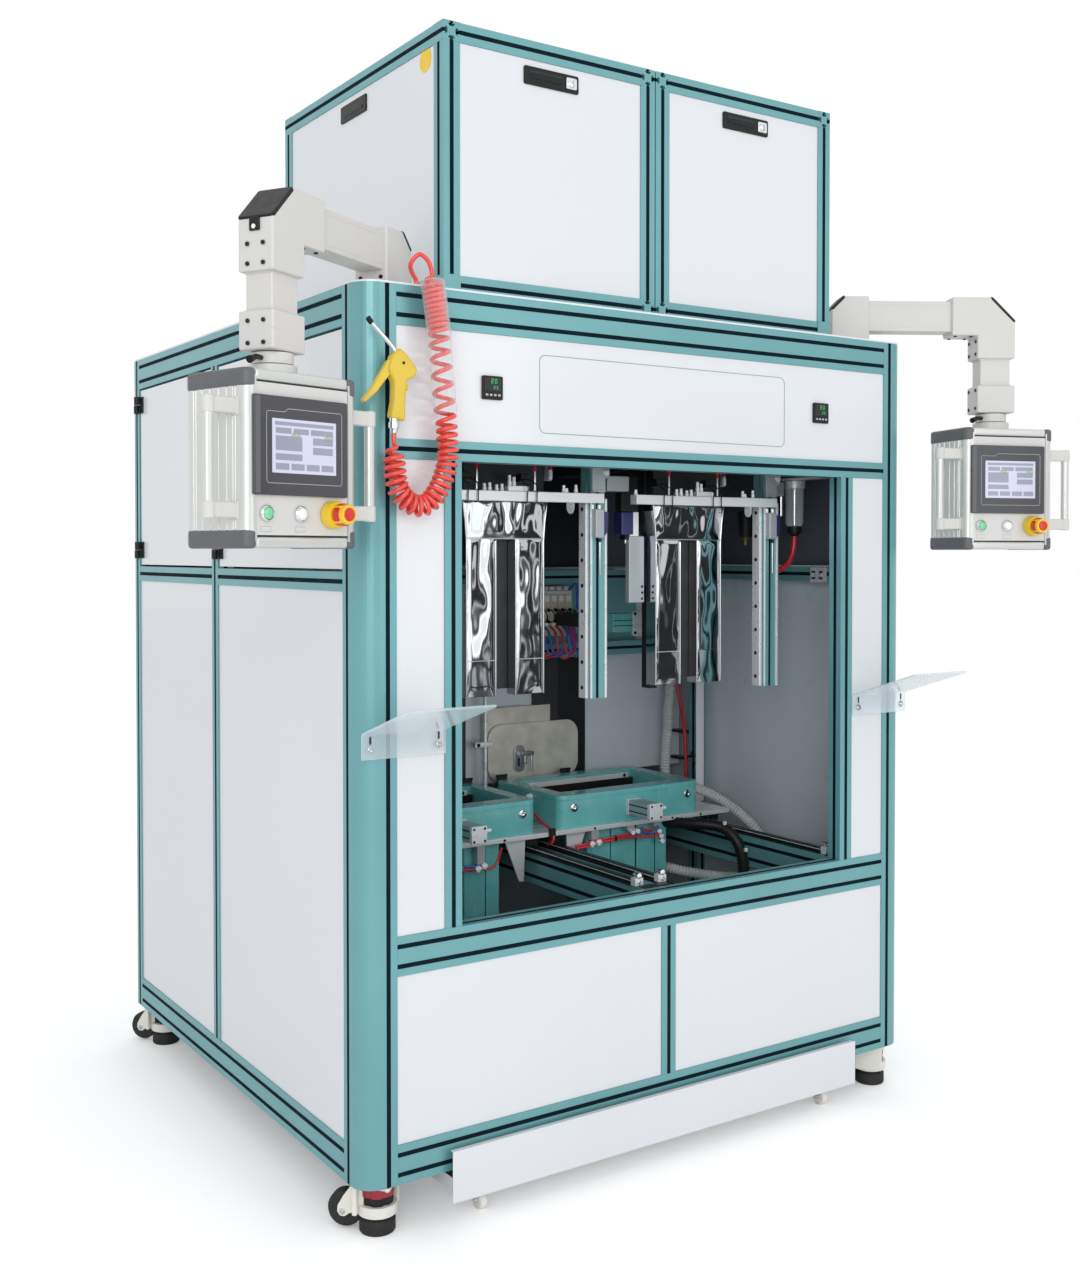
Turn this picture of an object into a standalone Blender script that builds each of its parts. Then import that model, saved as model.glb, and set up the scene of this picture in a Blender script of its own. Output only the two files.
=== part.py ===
"""Brick vacuum packing machine: slotted-profile frame, two feed cabinets, two moulds and two arms.

Units are metres, +Z is up, the front faces -Y and +X is to the right seen from the front.
The model is laid out with y = 0 on the front plane, and the empty machine_origin moves it back so
that the origin is on the floor at the middle of the footprint.
"""
import math

import bmesh
import bpy
from mathutils import Matrix, Vector

# Driving sizes of the frame
FRAME_WIDTH = 1.55
FRAME_DEPTH = 1.41
FRAME_HEIGHT = 1.80
FLOOR_CLEARANCE = 0.105
BAR = 0.04
DEEP_BAR = 0.08
POST = 0.08
POST_RADIUS = 0.05
SEAT_GAP = 0.0003

# Slots of the aluminium profiles
SLOT_MOUTH = 0.0082
SLOT_LIP = 0.0045
SLOT_WIDTH = 0.0172
SLOT_DEPTH = 0.0106
SLOT_FLOOR = 0.009
SLOT_SLOPE = 0.0006
SLOT_INSET = 0.02

# Front layout, heights from the bottom of the frame
SILL_TOP = 0.50
HEADER_HEIGHT = 0.225
HEADER_BOTTOM = FRAME_HEIGHT - DEEP_BAR - HEADER_HEIGHT
OPENING_TOP = HEADER_BOTTOM - BAR
OPENING_INSET = 0.19
PANEL_THICKNESS = 0.006
PANEL_RECESS = 0.003
SIDE_DOOR_BAY = 0.49
SIDE_RAIL_Z = FRAME_HEIGHT - DEEP_BAR - SIDE_DOOR_BAY - BAR
SIDE_POST_Y = 0.772

# Hinged side doors
DOOR_GAP = 0.005
HINGE_RADIUS = 0.006
HINGE_OFFSET = 0.008
HINGE_LEAF = 0.012
HINGE_HEIGHT = 0.045
HINGE_INSET = 0.045

# Feed cabinets on the roof
ROOF_THICKNESS = 0.004
CABINET_WIDTH = 0.5545
CABINET_SEAM = 0.003
CABINET_DEPTH = 0.81
CABINET_HEIGHT = 0.562
CABINET_SETBACK = 0.055
CABINET_PANEL_INSET = 0.003

# Control arms
ARM_INSET_X = 0.106
ARM_INSET_Y = 0.104
ARM_LENGTH = 0.380
ARM_ANGLE = math.radians(31.0)
ARM_TUBE_HEIGHT = 0.078
ARM_TUBE_WIDTH = 0.058
ARM_TUBE_RISE = 0.032
ARM_CASTING_WIDTH = 0.076
ARM_CASTING_WALL = 0.010
ARM_ELBOW_LENGTH = 0.164
ARM_ELBOW_DROP = 0.157
ARM_CHAMFER = 0.063
ARM_COLLAR_HEIGHT = 0.070
FLANGE_RADIUS = 0.044
FLANGE_HEIGHT = 0.008
SWIVEL_RADIUS = 0.045
SWIVEL_HEIGHT = 0.043

# Control boxes
CONSOLE_WIDTH = 0.258
CONSOLE_DEPTH = 0.170
CONSOLE_HEIGHT = 0.310
CONSOLE_TURN = math.radians(17.0)
CONSOLE_DROP = 0.215
CONSOLE_TOP = FRAME_HEIGHT - CONSOLE_DROP
HANDLE_HEIGHT = 0.200
HANDLE_STANDOFF = 0.038
HANDLE_RADIUS = 0.011
SCREEN_WIDTH = 0.214
SCREEN_HEIGHT = 0.172
SCREEN_STANDOFF = 0.006
BUTTON_RADIUS = 0.015
STOP_RADIUS = 0.020
STOP_LENGTH = 0.052
STOP_SHARE = 0.62
CONTROL_ROW = 0.052

# Levelling castors
FOOT_INSET = 0.055
FOOT_PLATE = 0.074
FOOT_PLATE_HEIGHT = 0.006
FOOT_PAD_RADIUS = 0.036
FOOT_PAD_HEIGHT = 0.024
FOOT_STEM_RADIUS = 0.020
FOOT_CHEEK = 0.008
FOOT_WHEEL_RADIUS = 0.031
FOOT_WHEEL_WIDTH = 0.024
FOOT_WHEEL_OFFSET = 0.062
FOOT_WHEEL_LIFT = 0.005

# Roll-out powder tray under the sill
TRAY_WIDTH = 1.16
TRAY_FRONT_HEIGHT = 0.107
TRAY_FRONT_Z = 0.045
TRAY_FRONT_SETOFF = 0.022
TRAY_SHEET = 0.003
TRAY_DEPTH = 0.62
TRAY_LIP = 0.030
TRAY_WHEEL_RADIUS = 0.020
TRAY_WHEEL_WIDTH = 0.018
TRAY_WHEEL_INSET = 0.085
TRAY_TRAVEL = 0.60

# Filling stations
STATION_X = 0.274
SPOUT_Y = 0.26
SPOUT_WIDTH = 0.213
SPOUT_TOP_WIDTH = 0.232
SPOUT_DEPTH = 0.040
SPOUT_LEG_WIDTH = 0.080
SPOUT_LENGTH = 0.863
SPOUT_LEG_BOTTOM = FRAME_HEIGHT - SPOUT_LENGTH
SPOUT_THROAT_DROP = 0.500
SPOUT_THROAT_Z = FRAME_HEIGHT - SPOUT_THROAT_DROP
SPOUT_HOPPER_LENGTH = 0.415
SPOUT_HOPPER_Z = FRAME_HEIGHT - SPOUT_HOPPER_LENGTH
GUIDE_X = 0.21
GUIDE_Y = 0.19
GUIDE_LENGTH = 0.875
GUIDE_BOTTOM = FRAME_HEIGHT - GUIDE_LENGTH
CLAMP_BAR_LENGTH = 0.478
CLAMP_BAR_HEIGHT = 0.024
CLAMP_BAR_DROP = 0.415
CLAMP_BAR_Z = FRAME_HEIGHT - CLAMP_BAR_DROP

# Moulds, their carriage and its rails
MOULD_X = 0.27
MOULD_WIDTH = 0.47
MOULD_DEPTH = 0.32
MOULD_HEIGHT = 0.086
MOULD_FRONT_Y = 0.49
MOULD_RADIUS = 0.025
MOULD_CAVITY_WIDTH = 0.39
MOULD_CAVITY_DEPTH = 0.21
MOULD_FLOOR = 0.012
PRESS_SIZE = 0.044
PRESS_LENGTH = 0.105
CARRIAGE_PLATE = 0.012
CARRIAGE_Z = 0.540
CARRIAGE_OVERHANG = 0.06
PEDESTAL_WIDTH = 0.268
PEDESTAL_DEPTH = 0.22
PEDESTAL_HEIGHT = 0.20
RAIL_PAIR = 0.068
RAIL_WIDTH = 0.015
RAIL_HEIGHT = 0.014
RAIL_START = 0.085
CARRIAGE_BLOCK = 0.034
CARRIAGE_TRAVEL = 0.25
PARTITION_Y = 0.86
PARTITION_BOTTOM = 0.62

# Plate on the partition and the valves on it
MOUNTING_WIDTH = 0.88
MOUNTING_HEIGHT = 0.25
MOUNTING_SHIFT = 0.12
MOUNTING_DROP = 0.58
MOUNTING_SHEET = 0.010
VALVES_WIDTH = 0.225
VALVES_HEIGHT = 0.120
VALVES_DEPTH = 0.060
VALVES_INSET = 0.380
VALVES_RISE = 0.060

# Clear shelves on both strips
SHELF_WIDTH = 0.19
SHELF_REACH = 0.200
SHELF_RISE = 0.065
SHELF_SHEET = 0.005
SHELF_FLANGE_TOP = 0.915
SHELF_FLANGE_HEIGHT = 0.055

# Air gun and its spring hose
GUN_X = 0.045
GUN_Y = -0.040
GUN_DROP = 0.240
GUN_Z = FRAME_HEIGHT - GUN_DROP
HOSE_RADIUS = 0.0045
COIL_RADIUS = 0.023

# Derived levels and places
BASE_Z = FLOOR_CLEARANCE
TOP_Z = BASE_Z + FRAME_HEIGHT
HALF_WIDTH = FRAME_WIDTH / 2
ROOF_TOP_Z = TOP_Z + ROOF_THICKNESS + SEAT_GAP
ARM_BASE_X = HALF_WIDTH - ARM_INSET_X
ARM_DROP_X = ARM_BASE_X + ARM_LENGTH * math.cos(ARM_ANGLE)
ARM_DROP_Y = ARM_INSET_Y - ARM_LENGTH * math.sin(ARM_ANGLE)
STOP_X = STOP_SHARE * CONSOLE_WIDTH / 2
CONSOLE_REACH = ((STOP_X + STOP_RADIUS) * math.sin(CONSOLE_TURN)
                 + (CONSOLE_DEPTH / 2 + STOP_LENGTH) * math.cos(CONSOLE_TURN))
FRONT_REACH = CONSOLE_REACH - ARM_DROP_Y
FRONT_PLANE_Y = (FRONT_REACH - FRAME_DEPTH) / 2


def start_scene():
    """Empty the scene and make the two collections."""
    for old in list(bpy.data.objects):
        bpy.data.objects.remove(old, do_unlink=True)
    parts = bpy.data.collections.new("brick_vacuum_packing_machine")
    cutters = bpy.data.collections.new("cutters")
    bpy.context.scene.collection.children.link(parts)
    bpy.context.scene.collection.children.link(cutters)
    origin = bpy.data.objects.new("machine_origin", None)
    origin.location = (0.0, FRONT_PLANE_Y, 0.0)
    parts.objects.link(origin)
    return parts, cutters, origin


PARTS, CUTTERS, ORIGIN = start_scene()


def material(name, colour, roughness, metallic=0.0, alpha=1.0):
    """One Principled material."""
    made = bpy.data.materials.new(name)
    made.use_nodes = True
    shader = made.node_tree.nodes["Principled BSDF"]
    shader.inputs["Base Color"].default_value = (*colour, 1.0)
    shader.inputs["Roughness"].default_value = roughness
    shader.inputs["Metallic"].default_value = metallic
    shader.inputs["Alpha"].default_value = alpha
    return made


TEAL = material("teal_profile", (0.20, 0.46, 0.46), 0.40)
WHITE = material("white_panel", (0.80, 0.82, 0.85), 0.20)
GREY = material("grey_sheet", (0.36, 0.39, 0.43), 0.45)
DARK = material("dark_sheet", (0.03, 0.03, 0.04), 0.60)
CAST = material("off_white_casting", (0.75, 0.74, 0.71), 0.45)
BOX_METAL = material("console_aluminium", (0.72, 0.72, 0.70), 0.35, 0.3)
SCREEN = material("screen_bezel", (0.06, 0.06, 0.07), 0.35)
STEEL = material("polished_steel", (0.75, 0.75, 0.76), 0.08, 1.0)
ENAMEL = material("green_enamel", (0.06, 0.36, 0.33), 0.30)
PLATE = material("carriage_plate", (0.55, 0.56, 0.56), 0.35, 1.0)
CASTOR = material("castor_white", (0.80, 0.79, 0.74), 0.50)
CLEAR = material("clear_acrylic", (0.85, 0.90, 0.92), 0.10, 0.0, 0.35)
YELLOW = material("gun_yellow", (0.80, 0.55, 0.03), 0.35)
RED = material("spring_hose_red", (0.80, 0.07, 0.05), 0.30)
BEIGE = material("valve_beige", (0.60, 0.58, 0.50), 0.45)


def finish(obj, paint, parent=ORIGIN, collection=PARTS, smooth_angle=30.0):
    """Put a made object in its collection, with its material and parent."""
    for used in list(obj.users_collection):
        used.objects.unlink(obj)
    collection.objects.link(obj)
    obj.data.materials.clear()
    obj.data.materials.append(paint)
    if smooth_angle and obj.type == "MESH":
        obj.data.shade_smooth()
        obj.data.set_sharp_from_angle(angle=math.radians(smooth_angle))
    obj.parent = parent
    if collection is CUTTERS:
        obj.hide_render = True
        obj.display_type = "WIRE"
    return obj


def box(name, low, high, paint, **places):
    """A cuboid between two corners."""
    size = [b - a for a, b in zip(low, high)]
    mesh = bpy.data.meshes.new(name)
    cage = bmesh.new()
    bmesh.ops.create_cube(cage, size=1.0, matrix=Matrix.Diagonal((*size, 1.0)))
    cage.to_mesh(mesh)
    cage.free()
    obj = bpy.data.objects.new(name, mesh)
    obj.location = [(a + b) / 2 for a, b in zip(low, high)]
    return finish(obj, paint, smooth_angle=0.0, **places)


def cylinder(name, centre, radius, length, axis, paint, sides=24, **places):
    """A capped cylinder with its middle at centre, along X, Y or Z."""
    turns = {"X": Matrix.Rotation(math.pi / 2, 4, "Y"), "Y": Matrix.Rotation(math.pi / 2, 4, "X"),
             "Z": Matrix.Identity(4)}
    mesh = bpy.data.meshes.new(name)
    cage = bmesh.new()
    bmesh.ops.create_cone(cage, cap_ends=True, segments=sides, radius1=radius, radius2=radius,
                          depth=length, matrix=turns[axis])
    cage.to_mesh(mesh)
    cage.free()
    obj = bpy.data.objects.new(name, mesh)
    obj.location = centre
    return finish(obj, paint, **places)


def prism(name, outline, length, paint, matrix, **places):
    """An outline in the local XY plane, extruded along local Z from 0 to length."""
    curve = bpy.data.curves.new(name, "CURVE")
    curve.dimensions = "2D"
    curve.fill_mode = "BOTH"
    curve.extrude = length / 2
    spline = curve.splines.new("POLY")
    spline.points.add(len(outline) - 1)
    for point, (x, y) in zip(spline.points, outline):
        point.co = (x, y, 0.0, 1.0)
    spline.use_cyclic_u = True
    obj = bpy.data.objects.new(name, curve)
    obj.matrix_world = matrix @ Matrix.Translation((0.0, 0.0, length / 2))
    return mesh_of_curve(obj, paint, **places)


def mesh_of_curve(obj, paint, weld=0.00001, **places):
    """Turn a curve object into a welded mesh object at the same place."""
    PARTS.objects.link(obj)
    bpy.context.view_layer.update()
    graph = bpy.context.evaluated_depsgraph_get()
    mesh = bpy.data.meshes.new_from_object(obj.evaluated_get(graph))
    cage = bmesh.new()
    cage.from_mesh(mesh)
    bmesh.ops.remove_doubles(cage, verts=cage.verts, dist=weld)
    bmesh.ops.dissolve_limit(cage, angle_limit=math.radians(0.5), verts=cage.verts, edges=cage.edges)
    bmesh.ops.recalc_face_normals(cage, faces=cage.faces)
    cage.to_mesh(mesh)
    cage.free()
    name = obj.name
    place = obj.matrix_world.copy()
    bpy.data.objects.remove(obj, do_unlink=True)
    mesh.name = name
    made = bpy.data.objects.new(name, mesh)
    made.matrix_world = place
    return finish(made, paint, **places)


def rod(name, points, radius, paint, sides=8, **places):
    """A capped round tube through points."""
    curve = bpy.data.curves.new(name, "CURVE")
    curve.dimensions = "3D"
    curve.bevel_depth = radius
    curve.bevel_resolution = max(0, sides // 2 - 2)
    curve.use_fill_caps = True
    spline = curve.splines.new("POLY")
    spline.points.add(len(points) - 1)
    for point, place in zip(spline.points, points):
        point.co = (*place, 1.0)
    obj = bpy.data.objects.new(name, curve)
    return mesh_of_curve(obj, paint, **places)


def combine(target, tools, operation="UNION"):
    """Join tools to a target, or cut them from it, with exact Booleans."""
    for tool in tools:
        tool.parent = target.parent
        for used in list(tool.users_collection):
            used.objects.unlink(tool)
        CUTTERS.objects.link(tool)
        tool.hide_render = True
        tool.display_type = "WIRE"
        change = target.modifiers.new(tool.name, "BOOLEAN")
        change.operation = operation
        change.solver = "EXACT"
        change.object = tool
    return target


def slot_notch(start, along, inward):
    """Outline points of one T slot whose mouth is centred at start on an edge."""
    shoulder = SLOT_LIP + SLOT_SLOPE
    steps = ((-SLOT_MOUTH / 2, 0.0), (-SLOT_MOUTH / 2, SLOT_LIP), (-SLOT_WIDTH / 2, shoulder),
             (-SLOT_FLOOR / 2, SLOT_DEPTH), (SLOT_FLOOR / 2, SLOT_DEPTH), (SLOT_WIDTH / 2, shoulder),
             (SLOT_MOUTH / 2, SLOT_LIP), (SLOT_MOUTH / 2, 0.0))
    return [(start[0] + a * along[0] + b * inward[0], start[1] + a * along[1] + b * inward[1])
            for a, b in steps]


def profile_outline(width, height):
    """Cross-section of a slotted bar: a rectangle with a T slot every 40 mm on each side."""
    sides = (((0.0, 0.0), (1, 0), (0, 1), width), ((width, 0.0), (0, 1), (-1, 0), height),
             ((width, height), (-1, 0), (0, -1), width), ((0.0, height), (0, -1), (1, 0), height))
    outline = []
    for corner, along, inward, length in sides:
        outline.append(corner)
        for k in range(round(length / BAR)):
            reach = SLOT_INSET + k * BAR
            start = (corner[0] + along[0] * reach, corner[1] + along[1] * reach)
            outline.extend(slot_notch(start, along, inward))
    return outline


def corner_outline(arc_points=12):
    """Cross-section of the front corner post: a square with its outer corner rounded."""
    outline = []
    for k in range(arc_points + 1):
        turn = math.pi + k * math.pi / 2 / arc_points
        outline.append((POST_RADIUS + POST_RADIUS * math.cos(turn),
                        POST_RADIUS + POST_RADIUS * math.sin(turn)))
    outline.extend(slot_notch((POST - SLOT_INSET, 0.0), (1, 0), (0, 1)))
    outline.append((POST, 0.0))
    for reach in (SLOT_INSET, POST - SLOT_INSET):
        outline.extend(slot_notch((POST, reach), (0, 1), (-1, 0)))
    outline.append((POST, POST))
    for reach in (POST - SLOT_INSET, SLOT_INSET):
        outline.extend(slot_notch((reach, POST), (-1, 0), (0, -1)))
    outline.append((0.0, POST))
    outline.extend(slot_notch((0.0, POST - SLOT_INSET), (0, -1), (1, 0)))
    return outline


def axes(origin, x_axis, y_axis, z_axis):
    """A placing matrix from an origin and three directions."""
    turn = Matrix((x_axis, y_axis, z_axis)).transposed().to_4x4()
    return Matrix.Translation(origin) @ turn


def bar(name, low, high, direction, paint=TEAL, **places):
    """A slotted bar filling the box from low to high and running along X, Y or Z."""
    size = [b - a for a, b in zip(low, high)]
    frames = {"X": ((0, 1, 0), (0, 0, 1), (1, 0, 0), size[1], size[2], size[0]),
              "Y": ((0, 0, 1), (1, 0, 0), (0, 1, 0), size[2], size[0], size[1]),
              "Z": ((1, 0, 0), (0, 1, 0), (0, 0, 1), size[0], size[1], size[2])}
    across, up, along, width, height, length = frames[direction]
    return prism(name, profile_outline(width, height), length, paint,
                 axes(low, across, up, along), **places)


def mirror_x(low, high):
    """The two corners of a box on the other side of the middle plane."""
    return (-high[0], low[1], low[2]), (-low[0], high[1], high[2])


def front_frame():
    """Corner posts, beams, rails and posts in the front plane."""
    for side, name in ((-1, "front_left_post"), (1, "front_right_post")):
        place = axes((side * HALF_WIDTH, 0.0, BASE_Z), (-side, 0, 0), (0, 1, 0), (0, 0, 1))
        prism(name, corner_outline(), FRAME_HEIGHT, TEAL, place)
    inner = HALF_WIDTH - POST - SEAT_GAP
    levels = (("front_top_beam", FRAME_HEIGHT - DEEP_BAR, FRAME_HEIGHT),
              ("header_rail", OPENING_TOP, HEADER_BOTTOM),
              ("sill_beam", SILL_TOP - DEEP_BAR, SILL_TOP),
              ("front_bottom_beam", 0.0, DEEP_BAR))
    for name, bottom, top in levels:
        bar(name, (-inner, 0.0, BASE_Z + bottom), (inner, BAR, BASE_Z + top), "X")
    bar("front_lower_post", (-BAR / 2, 0.0, BASE_Z + DEEP_BAR + SEAT_GAP),
        (BAR / 2, BAR, BASE_Z + SILL_TOP - DEEP_BAR - SEAT_GAP), "Z")
    edge = HALF_WIDTH - OPENING_INSET
    low = (edge - BAR, 0.0, BASE_Z + SILL_TOP + SEAT_GAP)
    high = (edge, BAR, BASE_Z + OPENING_TOP - SEAT_GAP)
    bar("right_opening_post", low, high, "Z")
    bar("left_opening_post", *mirror_x(low, high), "Z")


def front_panels():
    """White sheets between the front profiles."""
    near = PANEL_RECESS
    far = PANEL_RECESS + PANEL_THICKNESS
    inner = HALF_WIDTH - POST - SEAT_GAP
    edge = HALF_WIDTH - OPENING_INSET + SEAT_GAP
    header_low = BASE_Z + HEADER_BOTTOM + SEAT_GAP
    header_high = BASE_Z + FRAME_HEIGHT - DEEP_BAR - SEAT_GAP
    box("header_panel", (-inner, near, header_low), (inner, far, header_high), WHITE)
    strip = ((edge, near, BASE_Z + SILL_TOP + SEAT_GAP), (inner, far, BASE_Z + OPENING_TOP - SEAT_GAP))
    box("right_strip_panel", *strip, WHITE)
    box("left_strip_panel", *mirror_x(*strip), WHITE)
    lower = ((BAR / 2 + SEAT_GAP, near, BASE_Z + DEEP_BAR + SEAT_GAP),
             (inner, far, BASE_Z + SILL_TOP - DEEP_BAR - SEAT_GAP))
    box("lower_right_panel", *lower, WHITE)
    box("lower_left_panel", *mirror_x(*lower), WHITE)


def side_members(side):
    """Boxes of the profiles of one side, by name: low corner, high corner and direction."""
    outer = side * HALF_WIDTH
    inner = side * (HALF_WIDTH - BAR)
    x_low, x_high = min(outer, inner), max(outer, inner)
    back = FRAME_DEPTH - BAR
    front = POST + SEAT_GAP
    rail_low, rail_high = BASE_Z + SIDE_RAIL_Z, BASE_Z + SIDE_RAIL_Z + BAR
    post_far = SIDE_POST_Y + BAR
    return {
        "back_post": ((x_low, back, BASE_Z), (x_high, FRAME_DEPTH, TOP_Z), "Z"),
        "top_beam": ((x_low, front, TOP_Z - DEEP_BAR), (x_high, back - SEAT_GAP, TOP_Z), "Y"),
        "bottom_beam": ((x_low, front, BASE_Z), (x_high, back - SEAT_GAP, BASE_Z + DEEP_BAR), "Y"),
        "mid_post": ((x_low, SIDE_POST_Y, BASE_Z + DEEP_BAR + SEAT_GAP),
                     (x_high, post_far, TOP_Z - DEEP_BAR - SEAT_GAP), "Z"),
        "front_mid_rail": ((x_low, front, rail_low), (x_high, SIDE_POST_Y - SEAT_GAP, rail_high), "Y"),
        "rear_mid_rail": ((x_low, post_far + SEAT_GAP, rail_low), (x_high, back - SEAT_GAP, rail_high), "Y"),
    }


def hinge_heights():
    """Middle heights of the two hinges of a side door."""
    return (BASE_Z + SIDE_RAIL_Z + BAR + HINGE_INSET, TOP_Z - DEEP_BAR - HINGE_INSET)


def left_side():
    """The left side: profiles, fixed lower panels and the two hinged doors."""
    members = side_members(-1)
    for name, (low, high, direction) in members.items():
        bar("left_" + name, low, high, direction)
    x_low = -HALF_WIDTH + PANEL_RECESS
    x_high = x_low + PANEL_THICKNESS
    bays = (("front", POST, SIDE_POST_Y), ("rear", SIDE_POST_Y + BAR, FRAME_DEPTH - BAR))
    door_bottom = BASE_Z + SIDE_RAIL_Z + BAR + DOOR_GAP
    door_top = TOP_Z - DEEP_BAR - DOOR_GAP
    for bay, y_low, y_high in bays:
        box("left_lower_%s_panel" % bay, (x_low, y_low + SEAT_GAP, BASE_Z + DEEP_BAR + SEAT_GAP),
            (x_high, y_high - SEAT_GAP, BASE_Z + SIDE_RAIL_Z - SEAT_GAP), WHITE)
        pin = Vector((-HALF_WIDTH - HINGE_OFFSET, y_high - DOOR_GAP / 2, 0.0))
        axis = bpy.data.objects.new("left_%s_door_axis" % bay, None)
        axis.location = pin
        axis.parent = ORIGIN
        PARTS.objects.link(axis)
        door = box("left_%s_door" % bay,
                   (x_low - pin.x, y_low + DOOR_GAP - pin.y, door_bottom),
                   (x_high - pin.x, y_high - DOOR_GAP - pin.y, door_top), WHITE, parent=axis)
        tools = []
        for number, height in enumerate(hinge_heights()):
            tools.extend(door_hinge(bay, number, pin, height, axis))
        combine(door, tools)
        post = bpy.data.objects["left_mid_post" if bay == "front" else "left_back_post"]
        fixed = []
        for number, height in enumerate(hinge_heights()):
            fixed.extend(post_hinge(bay, number, pin, height))
        combine(post, fixed)


def door_hinge(bay, number, pin, height, axis):
    """The door's knuckle and leaf, in the axis empty's own coordinates."""
    low_z = height + SEAT_GAP / 2
    high_z = height + HINGE_HEIGHT / 2
    name = "%s_door_hinge_%d" % (bay, number)
    knuckle = cylinder(name + "_knuckle", (0.0, 0.0, (low_z + high_z) / 2), HINGE_RADIUS,
                       high_z - low_z, "Z", WHITE, sides=16, parent=axis)
    reach = HINGE_OFFSET + PANEL_RECESS + PANEL_THICKNESS / 2
    leaf = box(name + "_leaf", (0.0, -HINGE_LEAF, low_z), (reach, -DOOR_GAP / 2, high_z), WHITE,
               parent=axis)
    web = box(name + "_web", (-HINGE_RADIUS / 2, -HINGE_LEAF, low_z), (HINGE_RADIUS / 2, 0.0, high_z),
              WHITE, parent=axis)
    return [knuckle, web, leaf]


def post_hinge(bay, number, pin, height):
    """The post's knuckle and leaf."""
    low_z = height - HINGE_HEIGHT / 2
    high_z = height - SEAT_GAP / 2
    name = "%s_post_hinge_%d" % (bay, number)
    knuckle = cylinder(name + "_knuckle", (pin.x, pin.y, (low_z + high_z) / 2), HINGE_RADIUS,
                       high_z - low_z, "Z", TEAL, sides=16)
    leaf = box(name + "_leaf", (pin.x, pin.y + DOOR_GAP / 2 + SEAT_GAP, low_z),
               (-HALF_WIDTH + SLOT_LIP / 2, pin.y + HINGE_LEAF, high_z), TEAL)
    web = box(name + "_web", (pin.x - HINGE_RADIUS / 2, pin.y, low_z),
              (pin.x + HINGE_RADIUS / 2, pin.y + HINGE_LEAF, high_z), TEAL)
    return [knuckle, web, leaf]


def closed_wall(name, members, sheets):
    """Profiles of a closed side and its four sheets, joined as one bolted wall."""
    made = [bar(name + "_" + key, low, high, direction) for key, (low, high, direction) in members.items()]
    made += [box("%s_sheet_%d" % (name, k), low, high, TEAL) for k, (low, high) in enumerate(sheets[1:])]
    return combine(box(name, *sheets[0], TEAL), made)


def wall_bays():
    """Height ranges of the sheets below and above the side rail, held in the profiles' edges."""
    grip = 2 * SEAT_GAP
    return ((BASE_Z + DEEP_BAR - grip, BASE_Z + SIDE_RAIL_Z + grip),
            (BASE_Z + SIDE_RAIL_Z + BAR - grip, TOP_Z - DEEP_BAR + grip))


def right_wall():
    """The right side mirrors the left one, with fixed panels."""
    grip = 2 * SEAT_GAP
    x_high = HALF_WIDTH - PANEL_RECESS
    spans = ((POST + grip, SIDE_POST_Y + grip), (SIDE_POST_Y + BAR - grip, FRAME_DEPTH - BAR + grip))
    sheets = [((x_high - PANEL_THICKNESS, y_low, z_low), (x_high, y_high, z_high))
              for y_low, y_high in spans for z_low, z_high in wall_bays()]
    closed_wall("right_wall", side_members(1), sheets)


def back_wall():
    """The back repeats the sides: beams, a middle post, two rails and four sheets."""
    y_low, y_high = FRAME_DEPTH - BAR, FRAME_DEPTH
    inner = HALF_WIDTH - BAR - SEAT_GAP
    half = BAR / 2
    rail_low, rail_high = BASE_Z + SIDE_RAIL_Z, BASE_Z + SIDE_RAIL_Z + BAR
    members = {
        "top_beam": ((-inner, y_low, TOP_Z - DEEP_BAR), (inner, y_high, TOP_Z), "X"),
        "bottom_beam": ((-inner, y_low, BASE_Z), (inner, y_high, BASE_Z + DEEP_BAR), "X"),
        "mid_post": ((-half, y_low, BASE_Z + DEEP_BAR + SEAT_GAP),
                     (half, y_high, TOP_Z - DEEP_BAR - SEAT_GAP), "Z"),
        "left_rail": ((-inner, y_low, rail_low), (-half - SEAT_GAP, y_high, rail_high), "X"),
        "right_rail": ((half + SEAT_GAP, y_low, rail_low), (inner, y_high, rail_high), "X"),
    }
    grip = 2 * SEAT_GAP
    y_sheet = y_high - PANEL_RECESS
    spans = ((-inner + grip, -half + grip), (half - grip, inner - grip))
    sheets = [((x_low, y_sheet - PANEL_THICKNESS, z_low), (x_high, y_sheet, z_high))
              for x_low, x_high in spans for z_low, z_high in wall_bays()]
    closed_wall("back_wall", members, sheets)


def rounded_rectangle(x_low, x_high, y_low, y_high, radius, corners, arc_points=6):
    """Outline of a rectangle with some corners rounded, counter-clockwise from the low corner."""
    places = {"low_low": (x_low, y_low, 1, 1, math.pi), "high_low": (x_high, y_low, -1, 1, 1.5 * math.pi),
              "high_high": (x_high, y_high, -1, -1, 0.0), "low_high": (x_low, y_high, 1, -1, 0.5 * math.pi)}
    outline = []
    for key, (x, y, dx, dy, start) in places.items():
        if key not in corners:
            outline.append((x, y))
            continue
        for k in range(arc_points + 1):
            turn = start + k * math.pi / 2 / arc_points
            outline.append((x + dx * radius + radius * math.cos(turn),
                            y + dy * radius + radius * math.sin(turn)))
    return outline


def roof_deck():
    """The roof sheet with the two turned seats that carry the control arms."""
    outline = rounded_rectangle(-HALF_WIDTH, HALF_WIDTH, 0.0, FRAME_DEPTH, POST_RADIUS,
                                ("low_low", "high_low"), 12)
    deck = prism("roof_deck", outline, ROOF_THICKNESS, CAST,
                 Matrix.Translation((0.0, 0.0, TOP_Z + SEAT_GAP)))
    seats = []
    for side in (-1, 1):
        height = FLANGE_HEIGHT + ROOF_THICKNESS / 2
        seats.append(cylinder("arm_seat_%+d" % side,
                              (side * ARM_BASE_X, ARM_INSET_Y, ROOF_TOP_Z + FLANGE_HEIGHT - height / 2),
                              FLANGE_RADIUS, height, "Z", CAST, sides=24))
    combine(deck, seats)


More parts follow.
